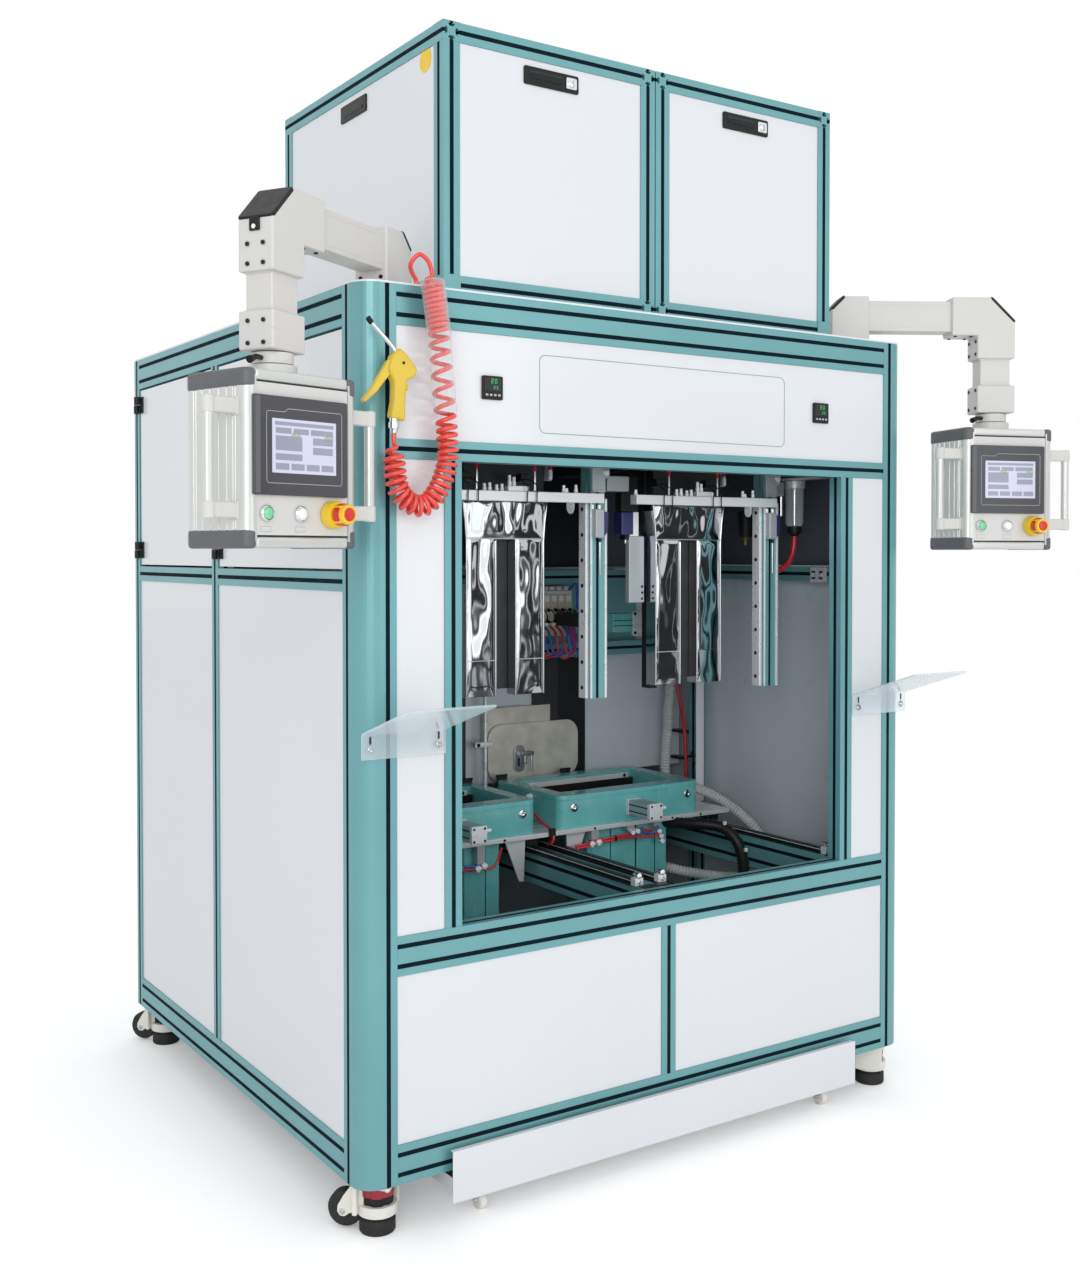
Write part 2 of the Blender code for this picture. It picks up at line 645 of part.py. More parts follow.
def inside_sheets():
    """Floor pan, partition behind the stations and the teal plate that carries the valves."""
    side = HALF_WIDTH - BAR - SEAT_GAP
    box("floor_pan", (BAR - side, BAR + SEAT_GAP, BASE_Z + DEEP_BAR - PANEL_THICKNESS),
        (side - BAR, FRAME_DEPTH - BAR - SEAT_GAP, BASE_Z + DEEP_BAR), DARK)
    box("inner_partition", (-side, PARTITION_Y, BASE_Z + PARTITION_BOTTOM),
        (side, PARTITION_Y + PANEL_THICKNESS, TOP_Z - SEAT_GAP), GREY)


def cabinet_edges(x_ends, y_ends, z_ends):
    """The twelve bars along the edges of a cabinet, as low corner, high corner and direction."""
    edges = []
    gap = SEAT_GAP
    for z in (z_ends[0], z_ends[1] - BAR):
        for x in (x_ends[0], x_ends[1] - BAR):
            edges.append(((x, y_ends[0], z), (x + BAR, y_ends[1], z + BAR), "Y"))
        for y in (y_ends[0], y_ends[1] - BAR):
            edges.append(((x_ends[0] + BAR + gap, y, z), (x_ends[1] - BAR - gap, y + BAR, z + BAR), "X"))
    for x in (x_ends[0], x_ends[1] - BAR):
        for y in (y_ends[0], y_ends[1] - BAR):
            edges.append(((x, y, z_ends[0] + BAR + gap), (x + BAR, y + BAR, z_ends[1] - BAR - gap), "Z"))
    return edges


def feed_cabinets():
    """Two framed cabinets on the roof, each with a closed body, white sheets and a front door."""
    bottom = ROOF_TOP_Z + SEAT_GAP
    top = bottom + CABINET_HEIGHT
    y_low, y_high = CABINET_SETBACK, CABINET_SETBACK + CABINET_DEPTH
    for side, label in ((-1, "left"), (1, "right")):
        x_low, x_high = sorted((side * CABINET_SEAM / 2, side * (CABINET_SEAM / 2 + CABINET_WIDTH)))
        half = BAR / 2
        core = box("upper_%s_cabinet" % label, (x_low + half, y_low + half, bottom + half),
                   (x_high - half, y_high - half, top - half), WHITE)
        edges = cabinet_edges((x_low, x_high), (y_low, y_high), (bottom, top))
        tools = [bar("upper_%s_edge_%d" % (label, k), low, high, direction)
                 for k, (low, high, direction) in enumerate(edges)]
        near, far = CABINET_PANEL_INSET, CABINET_PANEL_INSET + PANEL_THICKNESS
        hold = BAR - 2 * SEAT_GAP
        sheets = {
            "left": ((x_low + near, y_low + hold, bottom + hold), (x_low + far, y_high - hold, top - hold)),
            "right": ((x_high - far, y_low + hold, bottom + hold), (x_high - near, y_high - hold, top - hold)),
            "back": ((x_low + hold, y_high - far, bottom + hold), (x_high - hold, y_high - near, top - hold)),
            "top": ((x_low + hold, y_low + hold, top - far), (x_high - hold, y_high - hold, top - near)),
        }
        tools += [box("upper_%s_%s_sheet" % (label, key), low, high, WHITE)
                  for key, (low, high) in sheets.items()]
        combine(core, tools)
        edge = BAR + SEAT_GAP
        box("upper_%s_door" % label, (x_low + edge, y_low + PANEL_RECESS, bottom + edge),
            (x_high - edge, y_low + half - SEAT_GAP, top - edge), WHITE)


def arm_outlines():
    """Side outlines of the arm's castings and tubes: reach from the base axis, height from the floor."""
    tube_low = ROOF_TOP_Z + ARM_TUBE_RISE
    tube_high = tube_low + ARM_TUBE_HEIGHT
    wall = ARM_CASTING_WALL
    half = ARM_TUBE_HEIGHT / 2
    top = tube_high + wall
    elbow_end = ARM_LENGTH + half + wall
    elbow_low = top - ARM_ELBOW_DROP
    elbow_in = elbow_end - ARM_ELBOW_LENGTH
    collar_low = BASE_Z + CONSOLE_TOP + SWIVEL_HEIGHT + SEAT_GAP
    base_back = -half - wall
    seat = ROOF_TOP_Z + FLANGE_HEIGHT + SEAT_GAP
    return {
        "tube": [(0.0, tube_low), (ARM_LENGTH, tube_low), (ARM_LENGTH, tube_high), (0.0, tube_high)],
        "drop": [(ARM_LENGTH - half, collar_low), (ARM_LENGTH + half, collar_low),
                 (ARM_LENGTH + half, tube_high), (ARM_LENGTH - half, tube_high)],
        "elbow": [(elbow_in, tube_low - wall), (ARM_LENGTH - half - wall, tube_low - wall),
                  (ARM_LENGTH - half - wall, elbow_low), (elbow_end, elbow_low),
                  (elbow_end, top - ARM_CHAMFER), (elbow_end - ARM_CHAMFER, top), (elbow_in, top)],
        "collar": [(ARM_LENGTH - half - wall, collar_low), (elbow_end, collar_low),
                   (elbow_end, collar_low + ARM_COLLAR_HEIGHT),
                   (ARM_LENGTH - half - wall, collar_low + ARM_COLLAR_HEIGHT)],
        "base": [(base_back, seat), (half + wall, seat), (half + wall, top),
                 (base_back + ARM_CHAMFER, top), (base_back, top - ARM_CHAMFER)],
    }


def arm_axes(side, label):
    """Empties on the arm's base axis and on its drop axis."""
    base = bpy.data.objects.new("%s_arm_axis" % label, None)
    base.location = (side * ARM_BASE_X, ARM_INSET_Y, 0.0)
    base.parent = ORIGIN
    drop = bpy.data.objects.new("%s_console_axis" % label, None)
    drop.location = (side * ARM_DROP_X - side * ARM_BASE_X, ARM_DROP_Y - ARM_INSET_Y, 0.0)
    drop.rotation_euler = (0.0, 0.0, -side * CONSOLE_TURN)
    drop.parent = base
    PARTS.objects.link(base)
    PARTS.objects.link(drop)
    return base, drop


def control_arm(side, label, base):
    """The swinging arm: base casting, tube, elbow, drop tube and collar in one piece."""
    reach = Vector((side * math.cos(ARM_ANGLE), -math.sin(ARM_ANGLE), 0.0))
    up = Vector((0.0, 0.0, 1.0))
    across = reach.cross(up)
    widths = {"tube": ARM_TUBE_WIDTH, "drop": ARM_TUBE_WIDTH}
    made = []
    for key, outline in arm_outlines().items():
        width = widths.get(key, ARM_CASTING_WIDTH)
        place = axes(-across * (width / 2), reach, up, across)
        name = "%s_arm" % label if key == "elbow" else "%s_arm_%s" % (label, key)
        made.append(prism(name, outline, width, CAST, place, parent=base))
    elbow = [obj for obj in made if obj.name == "%s_arm" % label]
    combine(elbow[0], [obj for obj in made if obj is not elbow[0]])


def console(label, drop):
    """A control box with its swivel, handles, screen, buttons and stop button."""
    half_w, half_d = CONSOLE_WIDTH / 2, CONSOLE_DEPTH / 2
    top = BASE_Z + CONSOLE_TOP
    bottom = top - CONSOLE_HEIGHT
    body = box("%s_control_box" % label, (-half_w, -half_d, bottom), (half_w, half_d, top), BOX_METAL,
               parent=drop)
    soften = body.modifiers.new("rounded_edges", "BEVEL")
    soften.width = 0.010
    soften.segments = 2
    tools = [cylinder("%s_swivel" % label, (0.0, 0.0, top + SWIVEL_HEIGHT / 2 - 0.001), SWIVEL_RADIUS,
                      SWIVEL_HEIGHT + 0.002, "Z", BOX_METAL, parent=drop)]
    middle = (top + bottom) / 2
    foot = HANDLE_RADIUS * 0.8
    for side in (-1, 1):
        bow = side * (half_w + HANDLE_STANDOFF)
        root = side * (half_w - 0.005)
        for end in (-1, 1):
            z = middle + end * (HANDLE_HEIGHT / 2 - HANDLE_RADIUS)
            ends = sorted((bow, root))
            tools.append(box("%s_handle_foot_%+d%+d" % (label, side, end),
                             (ends[0], -foot, z - foot), (ends[1], foot, z + foot), BOX_METAL,
                             parent=drop))
        tools.append(cylinder("%s_handle_%+d" % (label, side), (bow, 0.0, middle), HANDLE_RADIUS,
                              HANDLE_HEIGHT, "Z", BOX_METAL, sides=16, parent=drop))
    row = bottom + CONTROL_ROW
    for number, x in enumerate((-STOP_X, 0.0)):
        tools.append(cylinder("%s_button_%d" % (label, number), (x, -half_d - 0.004, row), BUTTON_RADIUS,
                              0.012, "Y", BOX_METAL, sides=16, parent=drop))
    tools.append(cylinder("%s_stop" % label, (STOP_X, 0.001 - half_d - STOP_LENGTH / 2, row), STOP_RADIUS,
                          STOP_LENGTH + 0.002, "Y", BOX_METAL, sides=20, parent=drop))
    combine(body, tools)
    screen_low = row + 0.030
    box("%s_screen" % label,
        (-SCREEN_WIDTH / 2, -half_d - SCREEN_STANDOFF - SEAT_GAP, screen_low),
        (SCREEN_WIDTH / 2, -half_d - SEAT_GAP, screen_low + SCREEN_HEIGHT), SCREEN, parent=drop)


def control_arms():
    """Both arms with their control boxes, mirrored about the middle plane."""
    for side, label in ((-1, "left"), (1, "right")):
        base, drop = arm_axes(side, label)
        control_arm(side, label, base)
        console(label, drop)


def levelling_feet():
    """Four levelling castors, each one piece: plate, housing, stem, pad and wheel."""
    back_y = FRAME_DEPTH - FOOT_INSET
    top = BASE_Z - SEAT_GAP
    for label, side, y, inward in (("front_left", -1, FOOT_INSET, 1), ("front_right", 1, FOOT_INSET, 1),
                                   ("back_left", -1, back_y, -1), ("back_right", 1, back_y, -1)):
        x = side * (HALF_WIDTH - FOOT_INSET)
        half = FOOT_PLATE / 2
        plate = box("%s_foot" % label, (x - half, y - half, top - FOOT_PLATE_HEIGHT), (x + half, y + half, top),
                    CASTOR)
        wheel_y = y + inward * FOOT_WHEEL_OFFSET
        wheel_z = FOOT_WHEEL_LIFT + FOOT_WHEEL_RADIUS
        pad_top = FOOT_PAD_HEIGHT + FOOT_CHEEK
        tools = [
            cylinder("%s_pad" % label, (x, y, FOOT_PAD_HEIGHT / 2), FOOT_PAD_RADIUS, FOOT_PAD_HEIGHT, "Z",
                     CASTOR),
            cylinder("%s_stem" % label, (x, y, top / 2), FOOT_STEM_RADIUS, top - FOOT_PAD_HEIGHT / 2, "Z",
                     CASTOR, sides=16),
            cylinder("%s_wheel" % label, (x, wheel_y, wheel_z), FOOT_WHEEL_RADIUS, FOOT_WHEEL_WIDTH, "X",
                     CASTOR, sides=20),
            box("%s_collar" % label, (x - half, y - half, pad_top), (x + half, y + half, pad_top + 0.016),
                CASTOR),
        ]
        near, far = sorted((y - inward * half, wheel_y + inward * FOOT_CHEEK))
        for cheek in (-1, 1):
            inner = x + cheek * (FOOT_WHEEL_WIDTH / 2 - 0.001)
            outer = inner + cheek * FOOT_CHEEK
            tools.append(box("%s_cheek_%+d" % (label, cheek), (min(inner, outer), near, pad_top + 0.002),
                             (max(inner, outer), far, top - FOOT_PLATE_HEIGHT / 2), CASTOR))
        combine(plate, tools)


def powder_tray():
    """The low tray that rolls out from under the sill on its own small castors."""
    axis = bpy.data.objects.new("powder_tray_axis", None)
    axis.parent = ORIGIN
    PARTS.objects.link(axis)
    half = TRAY_WIDTH / 2
    front = box("powder_tray", (-half, -TRAY_FRONT_SETOFF, TRAY_FRONT_Z),
                (half, -TRAY_FRONT_SETOFF + TRAY_SHEET, TRAY_FRONT_Z + TRAY_FRONT_HEIGHT), WHITE, parent=axis)
    pan_z = 2 * TRAY_WHEEL_RADIUS + 0.022
    skin = TRAY_SHEET / 2
    edge = half - 2 * TRAY_SHEET
    y_front = skin - TRAY_FRONT_SETOFF
    tools = [box("tray_pan", (skin - edge, y_front, pan_z), (edge - skin, TRAY_DEPTH - skin, pan_z + TRAY_SHEET),
                 WHITE, parent=axis),
             box("tray_back_lip", (skin - edge, TRAY_DEPTH - TRAY_SHEET, pan_z + skin),
                 (edge - skin, TRAY_DEPTH, pan_z + TRAY_LIP - skin), WHITE, parent=axis)]
    for side in (-1, 1):
        x_low, x_high = sorted((side * edge, side * (edge - TRAY_SHEET)))
        tools.append(box("tray_side_lip_%+d" % side, (x_low, y_front, pan_z - skin / 2),
                         (x_high, TRAY_DEPTH - skin / 2, pan_z + TRAY_LIP), WHITE, parent=axis))
    for side in (-1, 1):
        for label, y in (("front", 0.015), ("back", TRAY_DEPTH - TRAY_WHEEL_INSET)):
            x = side * (half - TRAY_WHEEL_INSET)
            name = "tray_%s_%+d" % (label, side)
            tools.append(cylinder(name + "_wheel", (x, y, TRAY_WHEEL_RADIUS), TRAY_WHEEL_RADIUS,
                                  TRAY_WHEEL_WIDTH, "X", WHITE, sides=20, parent=axis))
            fork = TRAY_WHEEL_WIDTH / 2
            tools.append(box(name + "_fork", (x - fork, y - fork, TRAY_WHEEL_RADIUS),
                             (x + fork, y + fork, pan_z + TRAY_SHEET / 2), WHITE, parent=axis))
    combine(front, tools)


def shelves():
    """Two clear folded shelves screwed to the front strips."""
    thick = SHELF_SHEET
    outline = [(0.0, -SHELF_FLANGE_HEIGHT), (thick, -SHELF_FLANGE_HEIGHT), (thick, -thick),
               (SHELF_REACH, SHELF_RISE - thick), (SHELF_REACH, SHELF_RISE), (0.0, 0.0)]
    middle = HALF_WIDTH - (POST + OPENING_INSET) / 2
    for side, label in ((-1, "left"), (1, "right")):
        place = axes((side * middle - SHELF_WIDTH / 2, -SEAT_GAP, BASE_Z + SHELF_FLANGE_TOP),
                     (0, -1, 0), (0, 0, 1), (-1, 0, 0))
        place = place @ Matrix.Translation((0.0, 0.0, -SHELF_WIDTH))
        prism("%s_shelf" % label, outline, SHELF_WIDTH, CLEAR, place)


def filling_stations():
    """Folded steel spouts and the lift guides with their clamp bars."""
    for side, label in ((-1, "left"), (1, "right")):
        middle = side * STATION_X
        half = SPOUT_WIDTH / 2
        flare = SPOUT_TOP_WIDTH / 2
        top = TOP_Z - SEAT_GAP - BASE_Z
        gap_edge = half - SPOUT_LEG_WIDTH
        outline = [(-half, SPOUT_LEG_BOTTOM), (-gap_edge, SPOUT_LEG_BOTTOM), (-gap_edge, SPOUT_THROAT_Z),
                   (gap_edge, SPOUT_THROAT_Z), (gap_edge, SPOUT_LEG_BOTTOM), (half, SPOUT_LEG_BOTTOM),
                   (half, SPOUT_THROAT_Z), (flare, SPOUT_HOPPER_Z), (flare, top), (-flare, top),
                   (-flare, SPOUT_HOPPER_Z), (-half, SPOUT_THROAT_Z)]
        place = axes((middle, SPOUT_Y + SPOUT_DEPTH, BASE_Z), (1, 0, 0), (0, 0, 1), (0, -1, 0))
        prism("%s_spout" % label, outline, SPOUT_DEPTH, STEEL, place)
        guide_x = middle + GUIDE_X
        guide = bar("%s_lift_guide" % label, (guide_x - BAR / 2, GUIDE_Y, BASE_Z + GUIDE_BOTTOM),
                    (guide_x + BAR / 2, GUIDE_Y + BAR, TOP_Z - SEAT_GAP), "Z")
        rail = box("%s_guide_rail" % label,
                   (guide_x - BAR / 2 - RAIL_HEIGHT, GUIDE_Y + BAR / 2 - RAIL_WIDTH, BASE_Z + GUIDE_BOTTOM),
                   (guide_x - BAR / 2 + SLOT_LIP / 2, GUIDE_Y + BAR / 2 + RAIL_WIDTH,
                    BASE_Z + CLAMP_BAR_Z), STEEL)
        clamp = box("%s_clamp_bar" % label,
                    (middle - CLAMP_BAR_LENGTH / 2, GUIDE_Y - CLAMP_BAR_HEIGHT, BASE_Z + CLAMP_BAR_Z),
                    (middle + CLAMP_BAR_LENGTH / 2, GUIDE_Y + SLOT_LIP / 2,
                     BASE_Z + CLAMP_BAR_Z + CLAMP_BAR_HEIGHT), PLATE)
        combine(guide, [rail, clamp])


def carriage_rails():
    """Three front-to-back beams with linear rails, joined by a rear cross beam."""
    beam_top = BASE_Z + SILL_TOP
    y_end = PARTITION_Y - SEAT_GAP
    outer = HALF_WIDTH - BAR - DEEP_BAR * 2
    cross = box("carriage_rails", (-HALF_WIDTH + BAR + SEAT_GAP, y_end - BAR, beam_top - DEEP_BAR),
                (HALF_WIDTH - BAR - SEAT_GAP, y_end, beam_top), TEAL)
    tools = []
    for number, (x, width, rails) in enumerate(((-outer, BAR, (0.0,)), (0.0, DEEP_BAR, (-0.5, 0.5)),
                                               (outer, BAR, (0.0,)))):
        tools.append(bar("rail_beam_%d" % number,
                         (x - width / 2, BAR + SEAT_GAP, beam_top - DEEP_BAR),
                         (x + width / 2, y_end - BAR + 2 * SEAT_GAP, beam_top), "Y"))
        for share in rails:
            middle = x + share * RAIL_PAIR
            tools.append(box("rail_%d_%+.0f" % (number, 2 * share),
                             (middle - RAIL_WIDTH / 2, RAIL_START, beam_top - SLOT_LIP / 2),
                             (middle + RAIL_WIDTH / 2, y_end - BAR / 2, beam_top + RAIL_HEIGHT), STEEL))
    combine(cross, tools)


def mould_carriage():
    """The sliding plate, its bearing blocks, its pedestals and the two moulds on it."""
    axis = bpy.data.objects.new("mould_carriage_axis", None)
    axis.parent = ORIGIN
    PARTS.objects.link(axis)
    outer = HALF_WIDTH - BAR - DEEP_BAR * 2
    plate_low = BASE_Z + CARRIAGE_Z
    plate_high = plate_low + CARRIAGE_PLATE
    front = MOULD_FRONT_Y - 0.010
    back = MOULD_FRONT_Y + MOULD_DEPTH + 0.010 - 0.045
    plate = box("mould_carriage", (-outer - CARRIAGE_OVERHANG / 2, front, plate_low),
                (outer + CARRIAGE_OVERHANG / 2, back, plate_high), PLATE, parent=axis)
    tools = []
    rail_top = BASE_Z + SILL_TOP + RAIL_HEIGHT
    for x in (-outer, -RAIL_PAIR / 2, RAIL_PAIR / 2, outer):
        for number, y in enumerate((front + 0.030, back - 0.070)):
            half = CARRIAGE_BLOCK / 2 * 0.9
            tools.append(box("block_%+.3f_%d" % (x, number), (x - half, y, rail_top + SEAT_GAP),
                             (x + half, y + CARRIAGE_BLOCK * 1.2, plate_low + 0.001), STEEL, parent=axis))
    middle_y = MOULD_FRONT_Y + PEDESTAL_DEPTH / 2 + 0.020
    for side in (-1, 1):
        x = side * MOULD_X
        tools.append(box("pedestal_%+d" % side,
                         (x - PEDESTAL_WIDTH / 2, middle_y - PEDESTAL_DEPTH / 2, plate_low - PEDESTAL_HEIGHT),
                         (x + PEDESTAL_WIDTH / 2, middle_y + PEDESTAL_DEPTH / 2, plate_low + 0.001),
                         ENAMEL, parent=axis))
    combine(plate, tools)
    for side, label in ((-1, "left"), (1, "right")):
        mould(side, label, plate_high + SEAT_GAP, axis)


def mould(side, label, bottom, axis):
    """An enamelled mould box with an open cavity and a press cylinder on its front."""
    x = side * MOULD_X
    y_low, y_high = MOULD_FRONT_Y, MOULD_FRONT_Y + MOULD_DEPTH
    outline = rounded_rectangle(x - MOULD_WIDTH / 2, x + MOULD_WIDTH / 2, y_low, y_high, MOULD_RADIUS,
                                ("low_low", "high_low", "high_high", "low_high"))
    body = prism("%s_mould" % label, outline, MOULD_HEIGHT, ENAMEL, Matrix.Translation((0.0, 0.0, bottom)),
                 parent=axis)
    middle_y = (y_low + y_high) / 2
    cavity = box("%s_cavity" % label,
                 (x - MOULD_CAVITY_WIDTH / 2, middle_y - MOULD_CAVITY_DEPTH / 2, bottom + MOULD_FLOOR),
                 (x + MOULD_CAVITY_WIDTH / 2, middle_y + MOULD_CAVITY_DEPTH / 2, bottom + MOULD_HEIGHT * 2),
                 ENAMEL, parent=axis)
    combine(body, [cavity], "DIFFERENCE")
    press_z = bottom + MOULD_HEIGHT / 2
    half = PRESS_SIZE / 2 * 0.9
    press = box("%s_press" % label, (x - half, y_low - PRESS_LENGTH, press_z - half),
                (x + half, y_low + 0.002, press_z + half), PLATE, parent=axis)
    cap_half = PRESS_SIZE / 2
    cap = box("%s_press_cap" % label, (x - cap_half, y_low - PRESS_LENGTH, press_z - cap_half),
              (x + cap_half, y_low - PRESS_LENGTH + 0.012, press_z + cap_half), PLATE, parent=axis)
    combine(body, [press, cap])


def valves():
    """The teal mounting plate on the partition and the row of valves on it."""
    back = PARTITION_Y - SEAT_GAP
    face = back - MOUNTING_SHEET
    left = MOUNTING_SHIFT - MOUNTING_WIDTH / 2
    top = TOP_Z - MOUNTING_DROP
    bottom = top - MOUNTING_HEIGHT
    box("mounting_plate", (left, face, bottom), (left + MOUNTING_WIDTH, back, top), TEAL)
    valve_left = left + VALVES_INSET
    valve_low = bottom + VALVES_RISE
    box("valve_bank", (valve_left, face - SEAT_GAP - VALVES_DEPTH, valve_low),
        (valve_left + VALVES_WIDTH, face - SEAT_GAP, valve_low + VALVES_HEIGHT), BEIGE)


def air_gun():
    """The blow gun hanging at the left front corner: body, lever, nozzle, fitting and hook."""
    x = GUN_X - HALF_WIDTH
    y = GUN_Y
    z = BASE_Z + GUN_Z
    half = 0.012
    lever_half = 0.0065
    body = [(0.0, 0.091), (-0.008, 0.063), (0.005, 0.037), (0.003, 0.003), (-0.0035, -0.030),
            (0.0295, -0.036), (0.029, -0.001), (0.033, 0.043), (0.050, 0.052), (0.058, 0.064),
            (0.036, 0.092), (0.018, 0.107)]
    lever = [(0.008, 0.087), (-0.007, 0.081), (-0.040, 0.028), (-0.062, 0.001), (-0.057, -0.004),
             (-0.032, 0.017), (0.002, 0.059)]
    gun = prism("air_gun", body, 2 * half, YELLOW, axes((x, y + half, z), (1, 0, 0), (0, 0, 1), (0, -1, 0)))
    trigger = prism("air_gun_lever", lever, 2 * lever_half, YELLOW,
                    axes((x, y + lever_half, z), (1, 0, 0), (0, 0, 1), (0, -1, 0)))
    nozzle = rod("air_gun_nozzle", [(x + 0.019, y, z + 0.092), (x - 0.048, y, z + 0.161)], 0.005, YELLOW)
    fitting = cylinder("air_gun_fitting", (x + 0.008, y, z - 0.043), 0.0068, 0.034, "Z", YELLOW, sides=16)
    hook = box("air_gun_hook", (x + 0.020, y, z + 0.022), (x + 0.034, -SEAT_GAP, z + 0.034), YELLOW)
    combine(gun, [trigger, nozzle, fitting, hook])


def spring_hose():
    """The red spring hose as one fat tube, thin only at its two ends."""
    y = GUN_Y
    thin, fat = 1.0, COIL_RADIUS / HOSE_RADIUS
    start = (GUN_X - HALF_WIDTH + 0.008, BASE_Z + GUN_Z - 0.060 - SEAT_GAP)
    drops = [((start[0], TOP_Z - start[1]), thin), ((start[0], 0.317), thin), ((-0.722, 0.333), thin),
             ((-0.721, 0.365), fat), ((-0.714, 0.403), fat), ((-0.695, 0.429), fat),
             ((-0.669, 0.440), fat), ((-0.643, 0.432), fat), ((-0.617, 0.397), fat),
             ((-0.602, 0.349), fat), ((-0.603, 0.287), fat), ((-0.609, 0.230), fat),
             ((-0.614, 0.172), fat), ((-0.623, 0.077), fat), ((-0.634, 0.0), fat),
             ((-0.637, -0.020), thin)]
    loop = [(-0.641, -0.033, 0.045), (-0.654, -0.020, 0.061), (-0.666, -0.006, 0.040),
            (-0.650, 0.012, 0.025), (-0.642, 0.014, 0.015), (-0.642, 0.014, ROOF_TOP_Z + SEAT_GAP - TOP_Z)]
    route = [((x, y, TOP_Z - drop), scale) for (x, drop), scale in drops]
    route += [((x, y_loop, TOP_Z + rise), thin) for x, y_loop, rise in loop]
    curve = bpy.data.curves.new("spring_hose", "CURVE")
    curve.dimensions = "3D"
    curve.bevel_depth = HOSE_RADIUS
    curve.bevel_resolution = 2
    curve.use_fill_caps = True
    spline = curve.splines.new("POLY")
    spline.points.add(len(route) - 1)
    for point, (place, scale) in zip(spline.points, route):
        point.co = (*place, 1.0)
        point.radius = scale
    finish(bpy.data.objects.new("spring_hose", curve), RED)


front_frame()
front_panels()
left_side()
right_wall()
back_wall()
roof_deck()
inside_sheets()
feed_cabinets()
control_arms()
levelling_feet()
powder_tray()
shelves()
filling_stations()
carriage_rails()
mould_carriage()
valves()
air_gun()
spring_hose()
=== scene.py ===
import math

import bmesh
import bpy
import mathutils.noise
from mathutils import Matrix, Vector


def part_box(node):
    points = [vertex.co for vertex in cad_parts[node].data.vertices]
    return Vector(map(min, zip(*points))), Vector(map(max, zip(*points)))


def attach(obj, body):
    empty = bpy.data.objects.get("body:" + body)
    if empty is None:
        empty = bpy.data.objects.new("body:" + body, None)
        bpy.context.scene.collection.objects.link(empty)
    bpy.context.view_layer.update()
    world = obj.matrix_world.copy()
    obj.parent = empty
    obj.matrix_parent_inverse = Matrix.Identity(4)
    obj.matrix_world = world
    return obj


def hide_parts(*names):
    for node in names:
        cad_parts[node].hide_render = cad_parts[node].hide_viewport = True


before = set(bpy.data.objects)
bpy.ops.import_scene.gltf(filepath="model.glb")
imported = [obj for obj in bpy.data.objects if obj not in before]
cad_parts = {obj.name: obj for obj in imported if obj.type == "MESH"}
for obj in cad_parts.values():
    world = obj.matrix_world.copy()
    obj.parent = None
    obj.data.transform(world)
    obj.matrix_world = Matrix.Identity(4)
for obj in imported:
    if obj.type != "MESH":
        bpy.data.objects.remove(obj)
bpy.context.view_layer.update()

# Looks of the brick vacuum packing machine. Units are metres and the front faces -Y.
# Most places are given from the front plane, the middle and the bottom of the frame.
FRAME_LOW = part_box("front_left_post")[0]
Y0 = FRAME_LOW.y
Z0 = FRAME_LOW.z
HALF = 0.775
DEPTH = 1.41
HEIGHT = 1.8
BAR = 0.04
DEEP_BAR = 0.08
SEAM = 0.0003
LID = HEIGHT - DEEP_BAR
SILL_LOW = 0.42
SILL = 0.5
OPENING_TOP = 1.455
SIDE_RAIL = 1.19
SIDE_POST = 0.772
INNER = HALF - BAR - SEAM
WALL_FACE = 0.7349
PARTITION = 0.859
BAY_TOP = 1.799
RAIL_BEAMS = ((-0.575, BAR), (0.0, DEEP_BAR), (0.575, BAR))
RAILS = (-0.575, -0.034, 0.034, 0.575)
LATCH_Z = 2.292
METER_Z = 1.609
MACHINE = Matrix.Translation((0.0, Y0, Z0))

HOSE_RADIUS = 0.0045
COIL_CENTRE = 0.0183
GUN_Y = -0.04
ARM_X = 0.669
ARM_Y = 0.104
ARM_LENGTH = 0.38
ARM_ANGLE = math.radians(31.0)
CONSOLE_TURN = math.radians(17.0)
DROP_X = ARM_X + ARM_LENGTH * math.cos(ARM_ANGLE)
DROP_Y = ARM_Y - ARM_LENGTH * math.sin(ARM_ANGLE)


def srgb(red, green, blue):
    """Linear colour of a colour given as 0 to 255."""
    shares = [value / 255 for value in (red, green, blue)]
    return [c / 12.92 if c <= 0.04045 else ((c + 0.055) / 1.055) ** 2.4 for c in shares]


def noise(tree, place, scale, detail):
    """A noise texture on the mapped object coordinates."""
    cloud = tree.nodes.new("ShaderNodeTexNoise")
    cloud.inputs["Scale"].default_value = scale
    cloud.inputs["Detail"].default_value = detail
    tree.links.new(place.outputs["Vector"], cloud.inputs["Vector"])
    return cloud.outputs["Fac"]


def spread(tree, value, low, high):
    """A value from the middle of a noise, spread from low to high."""
    span = tree.nodes.new("ShaderNodeMapRange")
    span.inputs["From Min"].default_value = 0.3
    span.inputs["From Max"].default_value = 0.7
    span.inputs["To Min"].default_value = low
    span.inputs["To Max"].default_value = high
    tree.links.new(value, span.inputs["Value"])
    return span.outputs["Result"]


